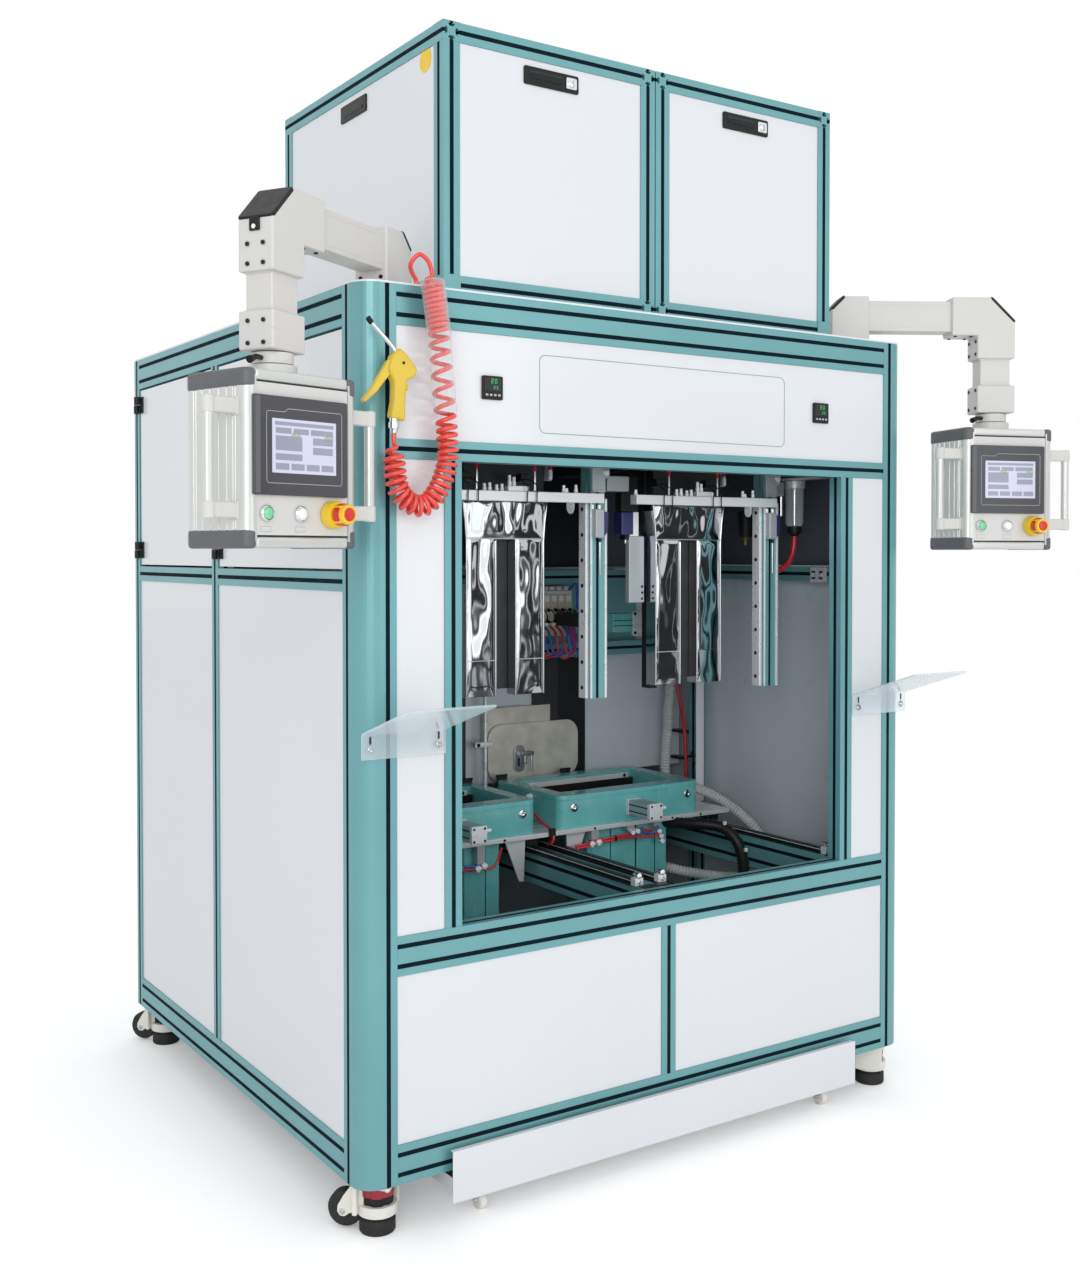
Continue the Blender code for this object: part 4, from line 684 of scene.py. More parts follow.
def chamfer_plate(arm, middle_x, middle_z, facing, long):
    """The black cover on the 45 degree corner of a casting."""
    slope = math.sqrt(0.5)
    place = frame_of((middle_x, 0.0, middle_z), (0, facing, 0), (-facing * slope, 0, slope),
                     (facing * slope, 0, slope))
    arm.use(BLACK).prism(plate_outline(0.0385, long / 2, 0.006), 0.0085, place @ at(0, 0, -0.005),
                         0.0025, 3)


def control_arm(side, label):
    """Base casting, grooved tube, elbow, drop tube and collar."""
    arm = Shape("%s_arm_detail" % label, "%s_arm" % label, arm_place(side)).use(CAST)
    tube_low, tube_high, top = 1.8363, 1.9143, 1.9243
    half = 0.038
    tube = [(0.03, tube_low), (0.35, tube_low), (0.35, tube_high), (0.03, tube_high)]
    arm.prism(tube, 0.058, side_on(0.029), 0.0035, 3)
    for z in (tube_low + 0.01, tube_high - 0.012):
        for y in (-0.0295, 0.029):
            arm.box((0.049, y, z), (0.265, y + 0.0005, z + 0.002), 0.0)
    arm.prism([(0.341, 1.65), (0.419, 1.65), (0.419, 1.85), (0.341, 1.85)], 0.058, side_on(0.029),
              0.0035, 3)
    elbow = [(0.265, 1.8263), (0.331, 1.8263), (0.331, 1.7673), (0.429, 1.7673), (0.429, top - 0.063),
             (0.366, top), (0.265, top)]
    arm.prism(elbow, 0.076, side_on(half), 0.004, 3)
    base = [(-0.049, 1.8126), (0.049, 1.8126), (0.049, top), (-0.015, top), (-0.049, top - 0.034)]
    arm.prism(base, 0.076, side_on(half), 0.004, 3)
    arm.prism([(0.331, 1.6283), (0.429, 1.6283), (0.429, 1.6983), (0.331, 1.6983)], 0.076, side_on(half),
              0.004, 3)
    arm.boxes(
        None, (0.334, -0.0382, 1.664, 0.4293, 0.0382, 1.6652, 0.0),
        (0.262, -0.03, tube_low - 0.0012, 0.2655, 0.03, tube_high + 0.0012, 0.0008, 1),
        (0.339, -0.03, 1.7645, 0.421, 0.03, 1.768, 0.0008, 1),
        (0.339, -0.03, 1.6975, 0.421, 0.03, 1.701, 0.0008, 1))
    chamfer_plate(arm, 0.3975, 1.8928, 1, 0.09)
    chamfer_plate(arm, -0.032, top - 0.017, -1, 0.05)
    arm.box((0.428, -0.011, 1.838), (0.4335, 0.011, 1.862), 0.002, 2)
    arm.use(BLACK)
    for y in (-0.024, 0.024):
        for z in (1.6405, 1.6865):
            arm.screw((0.3312, y, z), (-1, 0, 0), 0.0042, 0.0025)
        for x in (0.277, 0.318):
            arm.screw((x, y, 1.8264), (0, 0, -1), 0.0042, 0.0025)
        for z in (1.78, 1.812):
            arm.screw((0.3312, y, z), (-1, 0, 0), 0.0042, 0.0025)
        arm.screw((0.0488, y, 1.823), (1, 0, 0), 0.0042, 0.0025)
    for y in (-0.017, 0.017):
        for z in (1.6405, 1.68, 1.781, 1.816):
            arm.use(STEEL).lathe([(0.0062, 0.0), (0.0062, 0.0008), (0.0, 0.001)],
                                 facing_right(0.4288, y, z), 18)
            arm.use(BLACK).lathe([(0.004, 0.0008), (0.004, 0.0022), (0.0, 0.0024)],
                                 facing_right(0.4288, y, z), 14)
    arm.use(WHITE_LENS).lathe([(0.0042, 0.0), (0.0042, 0.0012), (0.0, 0.0014)],
                              facing_right(0.4334, 0.0, 1.845), 16)
    arm.make("%s_arm" % label)


def console_place(side):
    """Placing of a control box on its drop axis, turned about it."""
    return (at(side * DROP_X, Y0 + DROP_Y, Z0) @ Matrix.Rotation(-side * CONSOLE_TURN, 4, "Z"))


def side_wall_outline(edge, grooves):
    """Cross-section of the box's side profile: rounded front and back, with upright grooves."""
    round_edge = 0.018
    front = 0.085 if grooves else 0.0858
    outline = [(0.1055, -front)]
    for k in range(9):
        turn = math.radians(270 + 90 * k / 8)
        outline.append((edge - round_edge + round_edge * math.cos(turn),
                        round_edge - front + round_edge * math.sin(turn)))
    if grooves:
        for y in (-0.058, -0.051, -0.034, -0.012, 0.012, 0.034, 0.051, 0.058):
            outline += [(edge, y - 0.002), (edge - 0.0014, y - 0.001), (edge - 0.0014, y + 0.001),
                        (edge, y + 0.002)]
    for k in range(9):
        turn = math.radians(90 * k / 8)
        outline.append((edge - round_edge + round_edge * math.cos(turn),
                        front - round_edge + round_edge * math.sin(turn)))
    return outline + [(0.1055, front)]


def mushroom(console, x, row):
    """The stop button: yellow collar, neck and red mushroom."""
    place = on_front(x, -0.085, row)
    console.use(STOP_YELLOW)
    console.lathe([(0.024, 0.0), (0.025, 0.003), (0.025, 0.019), (0.023, 0.0225), (0.016, 0.023),
                   (0.016, 0.012)], place, 36)
    console.lathe([(0.012, 0.049), (0.017, 0.049), (0.0182, 0.047), (0.0182, 0.038), (0.012, 0.038)],
                  place, 32)
    for k in range(4):
        turn = math.radians(45 + 90 * k)
        spot = place @ Vector((0.018 * math.cos(turn), 0.018 * math.sin(turn), 0.0))
        console.rod(tuple(spot + Vector((0, -0.019, 0))), tuple(spot + Vector((0, -0.042, 0))),
                    0.003, 0.0, 10)
    console.use(STOP_RED).lathe([(0.0105, 0.012), (0.0105, 0.022), (0.015, 0.0235), (0.0195, 0.026),
                                 (0.0202, 0.03), (0.0202, 0.0385), (0.018, 0.041), (0.013, 0.048),
                                 (0.0115, 0.051), (0.0, 0.0518)], place, 36)


def push_button(console, x, row, lens):
    """A chrome ring with a domed lens."""
    place = on_front(x, -0.0845, row)
    console.use(CHROME).lathe([(0.015, 0.0), (0.015, 0.003), (0.014, 0.0055), (0.0118, 0.0072),
                               (0.0108, 0.006), (0.0108, 0.002)], place, 28)
    console.use(lens).lathe([(0.0108, 0.002), (0.0108, 0.0068), (0.0085, 0.0088), (0.0045, 0.0098),
                             (0.0, 0.01)], place, 28)


def console_body(side, label):
    """The control box: side profiles, caps, rails, panels, swivel, handles and buttons."""
    place = console_place(side)
    console = Shape("%s_console_detail" % label, "%s_console" % label, place).use(BOX_ALU)
    low, top = 1.275, 1.585
    console.box((-0.12, -0.079, low + 0.004), (0.12, 0.08, top - 0.004), 0.002)
    wall = side_wall_outline(0.129, True)
    mirrored = [(-x, y) for x, y in reversed(wall)]
    for outline in (wall, mirrored):
        console.prism(outline, 0.2848, at(0, 0, low + 0.0126), 0.0)
    for z in (low + 0.001, top - 0.021):
        console.boxes(
            None, (-0.1062, -0.0848, z, 0.1062, -0.064, z + 0.02, 0.006, 4),
            (-0.1062, 0.064, z, 0.1062, 0.0848, z + 0.02, 0.006, 4))
    console.boxes(
        None, (-0.1165, -0.066, top - 0.007, 0.1165, 0.066, top - 0.002, 0.0008),
        (-0.1165, -0.066, low + 0.002, 0.1165, 0.066, low + 0.007, 0.0008))
    console.boxes(
        PANEL_GREY, (-0.1052, -0.0838, low + 0.0232, 0.1052, -0.078, top - 0.0232, 0.001),
        (-0.1052, 0.078, low + 0.0232, 0.1052, 0.0838, top - 0.0232, 0.001))
    console.use(RUBBER)
    for z in (low + 0.022, top - 0.022):
        console.boxes(
            None, (-0.105, -0.0834, z - 0.0012, 0.105, -0.07, z + 0.0012, 0.0004, 1),
            (-0.105, 0.07, z - 0.0012, 0.105, 0.0834, z + 0.0012, 0.0004, 1))
    console.use(CAP_GREY)
    cap = side_wall_outline(0.1306, False)
    for outline in (cap, [(-x, y) for x, y in reversed(cap)]):
        console.prism(outline, 0.034, at(0, 0, top - 0.034), 0.0075, 4)
        console.prism(outline, 0.034, at(0, 0, low), 0.0075, 4)
    collar = [(0.045, 0.0), (0.045, 0.018), (0.0438, 0.02), (0.0392, 0.0205), (0.0385, 0.0215),
              (0.0385, 0.0415), (0.037, 0.0428)]
    console.use(CAST).lathe(collar, at(0, 0, top - 0.001), 40)
    console.use(BLACK).lathe([(0.0393, 0.0), (0.0393, 0.0014)], at(0, 0, top + 0.0196), 40)
    turn = math.radians(200)
    way = Vector((math.cos(turn), math.sin(turn), 0.0))
    start = Vector((0, 0, top + 0.03))
    console.tube([start + way * 0.037, start + way * 0.056, start + way * 0.078 + Vector((0, 0, -0.008))],
                 [0.0046, 0.005, 0.0072], 14)
    middle = (low + top) / 2
    for hand in (-1, 1):
        bow = hand * 0.186
        depth = -0.056
        console.use(BOX_ALU).rod((bow, depth, middle - 0.1), (bow, depth, middle + 0.1), 0.0098, 0.002, 24,
                                 steps=2)
        console.use(CAST)
        for end in (-1, 1):
            console.rod((bow, depth, middle + end * 0.074), (bow, depth, middle + end * 0.104), 0.0118,
                        0.003, 24, steps=3)
        for end in (-1, 1):
            z = middle + end * 0.089
            arm_low, arm_high = sorted((bow, hand * 0.124))
            foot_low, foot_high = sorted((hand * 0.127, hand * 0.132))
            console.boxes(
                None, (arm_low, depth - 0.0085, z - 0.014, arm_high, depth + 0.0085, z + 0.014, 0.004, 3),
                (foot_low, depth - 0.01, z - 0.016, foot_high, depth + 0.014, z + 0.016, 0.0015, 2))
    row = low + 0.061
    push_button(console, -0.085, row, GREEN_LENS)
    push_button(console, -0.008, row, WHITE_LENS)
    mushroom(console, 0.063, row)
    for x in (-0.085, -0.008):
        console.boxes(OUTLINE, (x - 0.0125, -0.0842, low + 0.029, x + 0.0125, -0.0836, low + 0.039, 0.0))
        console.boxes(
            PANEL_GREY, (x - 0.0113, -0.0844, low + 0.0302, x + 0.0113, -0.0838, low + 0.0378, 0.0))
    console.make("%s_control_box" % label)


def console_screen(side, label):
    """Dark bezel with a stepped outline and a plain working screen."""
    screen = Shape("%s_screen_detail" % label, "%s_console" % label, console_place(side)).use(BEZEL)
    bottom = 1.3675
    shift = at(-0.009, 0.0, 0.0)
    screen.prism(rounded_outline(-0.107, 0.107, 0.0, 0.172, 0.003), 0.006,
                 shift @ on_front(0.0, -0.0853, bottom), 0.0012, 2)
    face = -0.0914
    screen.use(CAP_GREY).prism(rounded_outline(-0.1045, -0.0935, 0.003, 0.169, 0.002), 0.0004,
                               shift @ on_front(0.0, face + 0.0003, bottom))
    screen.use(OUTLINE)
    line = [(-0.08, 0.026), (-0.08, 0.142), (-0.077, 0.145), (-0.04, 0.145), (-0.032, 0.151), (0.09, 0.151),
            (0.093, 0.148), (0.093, 0.024), (0.09, 0.021), (-0.077, 0.021), (-0.08, 0.026)]
    screen.tube([(x - 0.009, face + 0.0001, bottom + z) for x, z in line], 0.0006, 6)
    screen.use(GLASS).prism(rounded_outline(-0.068, 0.079, 0.039, 0.133, 0.001), 0.0004,
                            shift @ on_front(0.0, face + 0.0003, bottom))
    screen.use(FIELD)
    fields = ((-0.07073, 0.1217, 0.06373, 0.128), (-0.06907, 0.1077, -0.03421, 0.1175),
              (-0.02923, 0.1077, 0.00563, 0.1175), (0.01061, 0.1077, 0.06207, 0.1175),
              (-0.06907, 0.0783, -0.00931, 0.1035), (0.01559, 0.0909, 0.06207, 0.1035),
              (0.01559, 0.0741, 0.06207, 0.0867), (-0.06907, 0.0447, -0.03919, 0.0559),
              (-0.03421, 0.0447, -0.00433, 0.0559), (0.00065, 0.0447, 0.03053, 0.0559),
              (0.03551, 0.0447, 0.06373, 0.0559), (-0.06907, 0.0615, -0.00931, 0.0727))
    for x_low, z_low, x_high, z_high in fields:
        screen.prism(rounded_outline(x_low, x_high, z_low, z_high, 0.0008, 2), 0.0003,
                     on_front(0.0, face - 0.00005, bottom))
    screen.use(SCREEN_GREEN)
    for x in (-0.033, 0.044):
        for k, digit in enumerate("250"):
            for z_low, z_high, x_low, x_high in segment_bars(digit, 0.008):
                screen.box((x + 0.007 * k + x_low, face - 0.0006, bottom + 0.101 + z_low),
                           (x + 0.007 * k + x_high, face - 0.0003, bottom + 0.101 + z_high), 0.0)
    screen.make("%s_screen" % label)


for arm_side, arm_label in ((-1, "left"), (1, "right")):
    control_arm(arm_side, arm_label)
    console_body(arm_side, arm_label)
    console_screen(arm_side, arm_label)


# ---------------------------------------------------------------- feet and powder tray

FLOOR = at(0.0, Y0, 0.0)


def levelling_foot(label, side, y, swivel):
    """A levelling castor standing on its pad: cast housing, thumb wheel, pad and lifted wheel."""
    x = side * (HALF - 0.062)
    place = FLOOR @ at(x, y, 0.0) @ Matrix.Rotation(math.radians(swivel), 4, "Z")
    foot = Shape("%s_foot_detail" % label, "machine", place).use(CREAM)
    foot.box((-0.043, -0.04, 0.0985), (0.043, 0.043, 0.1045), 0.0012)
    inner = -side
    x_low, x_high = sorted((inner * 0.035, inner * 0.043))
    foot.boxes(
        None, (x_low, -0.033, 0.042, x_high, 0.038, 0.099, 0.0025, 3),
        (-0.043, 0.03, 0.042, 0.043, 0.04, 0.099, 0.0025, 3))
    foot.lathe([(0.0, 0.0), (0.0395, 0.0), (0.041, 0.002), (0.041, 0.019), (0.0395, 0.0215), (0.0, 0.022)],
               at(0, 0, 0.037), 44)
    cheek = [(0.01, 0.064), (0.03, 0.099), (0.045, 0.099), (0.065, 0.072), (0.0765, 0.052), (0.0775, 0.04),
             (0.071, 0.031), (0.061, 0.031), (0.052, 0.038), (0.04, 0.04), (0.01, 0.042)]
    for x_cheek in (-0.026, 0.019):
        foot.prism(cheek, 0.007, facing_right(x_cheek, 0, 0), 0.0018, 2)
    foot.use(RUBBER)
    turn = facing_right(-0.016, 0.066, 0.041)
    foot.lathe([(0.008, 0.0005), (0.028, 0.0005), (0.0345, 0.002), (0.037, 0.007), (0.037, 0.025),
                (0.0345, 0.03), (0.028, 0.0315), (0.008, 0.0315)], turn, 44)
    foot.lathe([(0.0, 0.0), (0.035, 0.0), (0.037, 0.003), (0.037, 0.025), (0.035, 0.029), (0.031, 0.03),
                (0.031, 0.0372), (0.0, 0.0375)], at(0, 0, 0.0002), 44)
    foot.use(CRIMSON)
    knurled = []
    for k in range(72):
        radius = 0.0345 if k % 12 < 8 else 0.0318
        knurled.append((radius * math.cos(k * math.pi / 36), radius * math.sin(k * math.pi / 36)))
    foot.prism(knurled, 0.02, at(0, 0, 0.075), 0.0008, 1)
    foot.use(BLACK).prism([(p[0] * 0.96, p[1] * 0.96) for p in knurled], 0.015, at(0, 0, 0.0595))
    foot.use(STEEL)
    foot.rod((-0.029, 0.066, 0.041), (0.029, 0.066, 0.041), 0.0042, 0.001, 18)
    foot.rod((-0.0275, 0.066, 0.041), (0.0275, 0.066, 0.041), 0.007, 0.001, 6)
    foot.rod((0, 0, 0.02), (0, 0, 0.0985), 0.01, 0.0, 20)
    for sx in (-1, 1):
        for sy in (-1, 1):
            foot.screw((0.035 * sx, 0.033 * sy, 0.0986), (0, 0, -1), 0.0055, 0.004)
    foot.make("%s_foot" % label)


def tray_castor(tray, x, y):
    """A small swivel castor under the tray."""
    tray.use(CHROME).lathe([(0.013, 0.0), (0.013, 0.003), (0.0105, 0.006), (0.0105, 0.01)],
                           at(x, y, 0.0505), 24)
    for side in (-1, 1):
        fork = [(-0.011, 0.0535), (0.011, 0.0535), (0.009, 0.03), (0.0065, 0.015), (-0.0065, 0.015),
                (-0.009, 0.03)]
        tray.prism(fork, 0.0018, facing_right(x + side * 0.0102 - 0.0009, y, 0), 0.0006, 1)
    tray.box((x - 0.011, y - 0.011, 0.0505), (x + 0.011, y + 0.011, 0.0535), 0.0012)
    tray.rod((x - 0.0125, y, 0.02), (x + 0.0125, y, 0.02), 0.0032, 0.0006, 12)
    tray.use(CREAM).lathe([(0.004, 0.0), (0.015, 0.0), (0.0188, 0.0012), (0.02, 0.004), (0.02, 0.013),
                           (0.0188, 0.0158), (0.015, 0.017), (0.004, 0.017)],
                          facing_right(x - 0.0085, y, 0.02), 32)


def powder_tray():
    """White folded tray on four small castors."""
    tray = Shape("powder_tray_detail", "tray", FLOOR).use(WHITE)
    tray.boxes(
        None, (-0.58, -0.022, 0.045, 0.58, -0.0195, 0.152, 0.0011),
        (-0.578, -0.0198, 0.149, 0.578, -0.008, 0.1512, 0.0009),
        (-0.5725, -0.0205, 0.062, 0.5725, 0.6185, 0.065, 0.001))
    for side in (-1, 1):
        low, high = sorted((side * 0.574, side * 0.5712))
        tray.box((low, -0.02, 0.062), (high, 0.619, 0.092), 0.0008)
    tray.box((-0.5725, 0.6165, 0.0625), (0.5725, 0.6195, 0.0915), 0.0008)
    for x in (-0.495, 0.495):
        for y in (0.015, 0.535):
            tray_castor(tray, x, y)
    tray.make("powder_tray")


for foot_label, foot_side, foot_y, foot_turn in (("front_left", -1, 0.055, 44),
                                                 ("front_right", 1, 0.055, 40),
                                                 ("back_left", -1, 1.355, 40),
                                                 ("back_right", 1, 1.355, 150)):
    levelling_foot(foot_label, foot_side, foot_y, foot_turn)
powder_tray()


# ---------------------------------------------------------------- finishes of the CAD nodes

def repaint(paint, *names):
    """Give CAD nodes a finish."""
    for name in names:
        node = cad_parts[name]
        node.data.materials.clear()
        node.data.materials.append(paint)


repaint(TEAL, "front_left_post", "front_right_post", "front_top_beam", "header_rail", "sill_beam",
        "front_bottom_beam", "front_lower_post", "right_opening_post", "left_opening_post",
        "left_back_post", "left_top_beam", "left_bottom_beam", "left_mid_post", "left_front_mid_rail",
        "left_rear_mid_rail", "right_wall", "back_wall", "upper_left_cabinet", "upper_right_cabinet",
        "carriage_rails", "mounting_plate")
repaint(WHITE, "header_panel", "right_strip_panel", "left_strip_panel", "lower_right_panel",
        "lower_left_panel", "left_lower_front_panel", "left_lower_rear_panel", "left_front_door",
        "left_rear_door", "upper_left_door", "upper_right_door")
repaint(ROOF_WHITE, "roof_deck")
repaint(GREY, "inner_partition")
repaint(BLACK, "floor_pan")


def side_bars(side):
    """The slotted bars of one side: low corner, high corner and direction."""
    low, high = sorted((side * HALF, side * (HALF - BAR)))
    near, far = DEEP_BAR + SEAM, DEPTH - BAR - SEAM
    return [((low, DEPTH - BAR, 0.0), (high, DEPTH, HEIGHT), "Z"),
            ((low, near, LID), (high, far, HEIGHT), "Y"),
            ((low, near, 0.0), (high, far, DEEP_BAR), "Y"),
            ((low, SIDE_POST, near), (high, SIDE_POST + BAR, LID - SEAM), "Z"),
            ((low, near, SIDE_RAIL), (high, SIDE_POST - SEAM, SIDE_RAIL + BAR), "Y"),
            ((low, SIDE_POST + BAR + SEAM, SIDE_RAIL), (high, far, SIDE_RAIL + BAR), "Y")]


def cabinet_bars(side):
    """The twelve bars of one feed cabinet."""
    x_low, x_high = sorted((side * 0.0015, side * 0.556))
    y_low, y_high, z_low, z_high = 0.055, 0.865, 1.8046, 2.3666
    bars = []
    for z in (z_low, z_high - BAR):
        bars += [((x, y_low, z), (x + BAR, y_high, z + BAR), "Y") for x in (x_low, x_high - BAR)]
        bars += [((x_low + BAR + SEAM, y, z), (x_high - BAR - SEAM, y + BAR, z + BAR), "X")
                 for y in (y_low, y_high - BAR)]
    bars += [((x, y, z_low + BAR + SEAM), (x + BAR, y + BAR, z_high - BAR - SEAM), "Z")
             for x in (x_low, x_high - BAR) for y in (y_low, y_high - BAR)]
    return bars


def all_bars():
    """Every slotted bar with square corners."""
    front = HALF - DEEP_BAR - SEAM
    back = DEPTH - BAR
    heights = ((LID, HEIGHT), (OPENING_TOP, OPENING_TOP + BAR), (SILL_LOW, SILL), (0.0, DEEP_BAR))
    bars = [((-front, 0.0, low), (front, BAR, high), "X") for low, high in heights]
    bars += [((-0.02, 0.0, DEEP_BAR + SEAM), (0.02, BAR, SILL_LOW - SEAM), "Z")]
    bars += [((x - 0.02, 0.0, SILL + SEAM), (x + 0.02, BAR, OPENING_TOP - SEAM), "Z")
             for x in (0.565, -0.565)]
    for side in (-1, 1):
        bars += side_bars(side) + cabinet_bars(side)
    bars += [((-INNER, back, z), (INNER, DEPTH, z + DEEP_BAR), "X") for z in (LID, 0.0)]
    bars += [((-0.02, back, DEEP_BAR + SEAM), (0.02, DEPTH, LID - SEAM), "Z"),
             ((-INNER, back, SIDE_RAIL), (-0.02 - SEAM, DEPTH, SIDE_RAIL + BAR), "X"),
             ((0.02 + SEAM, back, SIDE_RAIL), (INNER, DEPTH, SIDE_RAIL + BAR), "X")]
    bars += [((x - w / 2, BAR + SEAM, SILL_LOW), (x + w / 2, 0.82, SILL), "Y") for x, w in RAIL_BEAMS]
    return bars


def slot_shade_strips():
    """Painted shade on the floor of every slot: dark strips a little under the face of the profile."""
    shade_strips = Shape("profile_slot_shade", "machine").use(SLOT_SHADE)
    half, deep, thick, end, cut = 0.0046, -0.0003, 0.0021, 0.0004, 0.0005
    for low, high, way in all_bars():
        run = "XYZ".index(way)
        for face in range(3):
            if face == run:
                continue
            across = 3 - run - face
            width = high[across] - low[across]
            for k in range(round(width / BAR)):
                middle = low[across] + BAR * (k + 0.5)
                for outer, inward in ((low[face], 1), (high[face], -1)):
                    a, b = [0.0] * 3, [0.0] * 3
                    a[run], b[run] = low[run] + end, high[run] - end
                    a[across], b[across] = middle - half, middle + half
                    a[face], b[face] = sorted((outer + inward * deep, outer + inward * (deep + thick)))
                    shade_strips.box(a, b, 0.0)
    for side in (-1, 1):
        for x, y, facing in ((0.06, 0.0, "y"), (0.0, 0.06, "x"), (0.02, 0.08, "y"), (0.06, 0.08, "y"),
                             (0.08, 0.02, "x"), (0.08, 0.06, "x")):
            inward = 1 if (x == 0.0 or y == 0.0) else -1
            place = side * (HALF - x)
            if facing == "y":
                y_a, y_b = sorted((y + inward * deep, y + inward * (deep + thick)))
                shade_strips.box((place - half, y_a, cut), (place + half, y_b, HEIGHT - cut), 0.0)
            else:
                x_a, x_b = sorted((place - side * inward * deep, place - side * inward * (deep + thick)))
                shade_strips.box((x_a, y - half, cut), (x_b, y + half, HEIGHT - cut), 0.0)
    shade_strips.make()


def wall_sheets():
    """White outer and grey inner faces of the closed walls, and the cabinets' white sheets."""
    outer = Shape("wall_sheets", "machine").use(WHITE)
    inner = Shape("inner_wall_sheets", "machine").use(GREY)
    rows = ((DEEP_BAR + SEAM, SIDE_RAIL - SEAM), (SIDE_RAIL + BAR + SEAM, LID - SEAM))
    bays = ((DEEP_BAR + SEAM, SIDE_POST - SEAM), (SIDE_POST + BAR + SEAM, DEPTH - BAR - SEAM))
    for z_low, z_high in rows:
        for y_low, y_high in bays:
            outer.box((0.7716, y_low, z_low), (0.7724, y_high, z_high), 0.0)
            inner.boxes(GREY if z_low < 1.0 else SLATE, (0.7652, y_low, z_low, 0.7662, y_high, z_high, 0.0))
        for x_low, x_high in ((-INNER, -0.02 - SEAM), (0.02 + SEAM, INNER)):
            outer.box((x_low, 1.4066, z_low), (x_high, 1.4074, z_high), 0.0)
            inner.box((x_low, 1.4, z_low), (x_high, 1.4012, z_high), 0.0)
    for side in (-1, 1):
        x_low, x_high = sorted((side * 0.0015, side * 0.556))
        y_low, y_high, z_low, z_high = 0.0953, 0.8247, 1.8449, 2.3263
        outer.boxes(
            None, (x_low + 0.0026, y_low, z_low, x_low + 0.0032, y_high, z_high, 0.0),
            (x_high - 0.0032, y_low, z_low, x_high - 0.0026, y_high, z_high, 0.0),
            (x_low + BAR + SEAM, 0.8618, z_low, x_high - BAR - SEAM, 0.8624, z_high, 0.0),
            (x_low + BAR + SEAM, y_low, 2.3634, x_high - BAR - SEAM, y_high, 2.364, 0.0))
    outer.make()
    inner.make()


def cabinet_fittings():
    """Latches, corner covers, flush pull and a plain round sticker on the cabinets."""
    fittings = Shape("cabinet_latches", "machine").use(BLACK)
    for x in (-0.286, 0.275):
        plate = plate_outline(0.071, 0.0195, 0.004)
        fittings.use(BLACK).prism(plate, 0.006, on_front(x, 0.059, LATCH_Z), 0.0018, 3)
        fittings.use(DARK).prism(rounded_outline(-0.058, 0.03, -0.01, 0.011, 0.005), 0.0006,
                                 on_front(x, 0.0532, LATCH_Z))
        fittings.use(BLACK).prism(rounded_outline(-0.055, 0.028, -0.0075, 0.0065, 0.004), 0.003,
                                  on_front(x, 0.053, LATCH_Z), 0.0012, 2)
        fittings.use(CHROME).prism(rounded_outline(0.036, 0.064, -0.0125, 0.0125, 0.004), 0.0035,
                                   on_front(x, 0.0534, LATCH_Z), 0.0012, 2)
        fittings.lathe([(0.0085, 0.0), (0.0085, 0.004), (0.007, 0.0052), (0.0, 0.0052)],
                       on_front(x + 0.05, 0.0505, LATCH_Z), 24)
        fittings.use(DARK).box((x + 0.0494, 0.045, 2.287), (x + 0.0506, 0.0456, 2.297), 0.0)
    fittings.use(TEAL)
    for x in (-0.536, 0.536):
        fittings.prism(plate_outline(0.0205, 0.0205, 0.003), 0.0022, on_front(x, 0.0549, 1.825), 0.0006, 1)
        for y in (0.0748, 0.8452):
            fittings.box((x - 0.0205, y - 0.0205, 2.3666), (x + 0.0205, y + 0.0205, 2.3669), 0.0)
    left = facing_left(-0.556, 0.4735, 2.2925)
    fittings.use(BLACK).prism(plate_outline(0.0655, 0.0195, 0.004), 0.0052, left @ at(0, 0, -0.004),
                              0.0015, 3)
    fittings.use(DARK).prism(rounded_outline(-0.052, 0.052, -0.012, 0.01, 0.005), 0.0005,
                             left @ at(0, 0, 0.001))
    fittings.use(BLACK).prism(rounded_outline(-0.05, 0.05, -0.009, 0.0, 0.004), 0.0016,
                              left @ at(0, 0, 0.001), 0.0007, 1)
    fittings.use(STOP_YELLOW).lathe([(0.0255, 0.0), (0.0255, 0.0005), (0.0, 0.0006)],
                                    facing_left(-0.5535, 0.134, 2.306), 32)
    fittings.make()


def door_hinges():
    """Black hinges of the side doors: one half on the door, one on the post."""
    pin_x, knuckle = -0.783, 0.0068
    for bay, pin_y, body in (("front", 0.7695, "left_front_door"), ("rear", 1.3675, "left_rear_door")):
        door = Shape("left_%s_door_hinges" % bay, body).use(BLACK)
        post = Shape("left_%s_post_hinges" % bay, "machine").use(BLACK)
        for z in (1.275, 1.675):
            door.box((-0.7755, pin_y - 0.0275, z - 0.0225), (-0.7712, pin_y - 0.003, z + 0.0225), 0.0012)
            door.rod((pin_x, pin_y, z + 0.0004), (pin_x, pin_y, z + 0.0228), knuckle, 0.001, 20)
            door.box((-0.7872, pin_y - 0.0128, z + 0.0004), (-0.7735, pin_y - 0.0012, z + 0.0228), 0.001, 1)
            post.box((-0.779, pin_y + 0.003, z - 0.0225), (-0.774, pin_y + 0.0275, z + 0.0225), 0.0012)
            post.rod((pin_x, pin_y, z - 0.0228), (pin_x, pin_y, z - 0.0004), knuckle, 0.001, 20)
            post.box((-0.7872, pin_y + 0.0012, z - 0.0228), (-0.7765, pin_y + 0.0128, z - 0.0004), 0.001, 1)
            for dz in (-0.013, 0.013):
                door.screw((-0.7754, pin_y - 0.019, z + dz), (-1, 0, 0), 0.0034, 0.0012)
                post.screw((-0.7789, pin_y + 0.019, z + dz), (-1, 0, 0), 0.0034, 0.0012)
        door.make()
        post.make()


def seven_segments(shape, digit, x, z, face, size):
    """One generic digit of a small display."""
    for z_low, z_high, x_low, x_high in segment_bars(digit, size):
        shape.box((x + x_low, face - 0.0003, z + z_low), (x + x_high, face, z + z_high), 0.0)


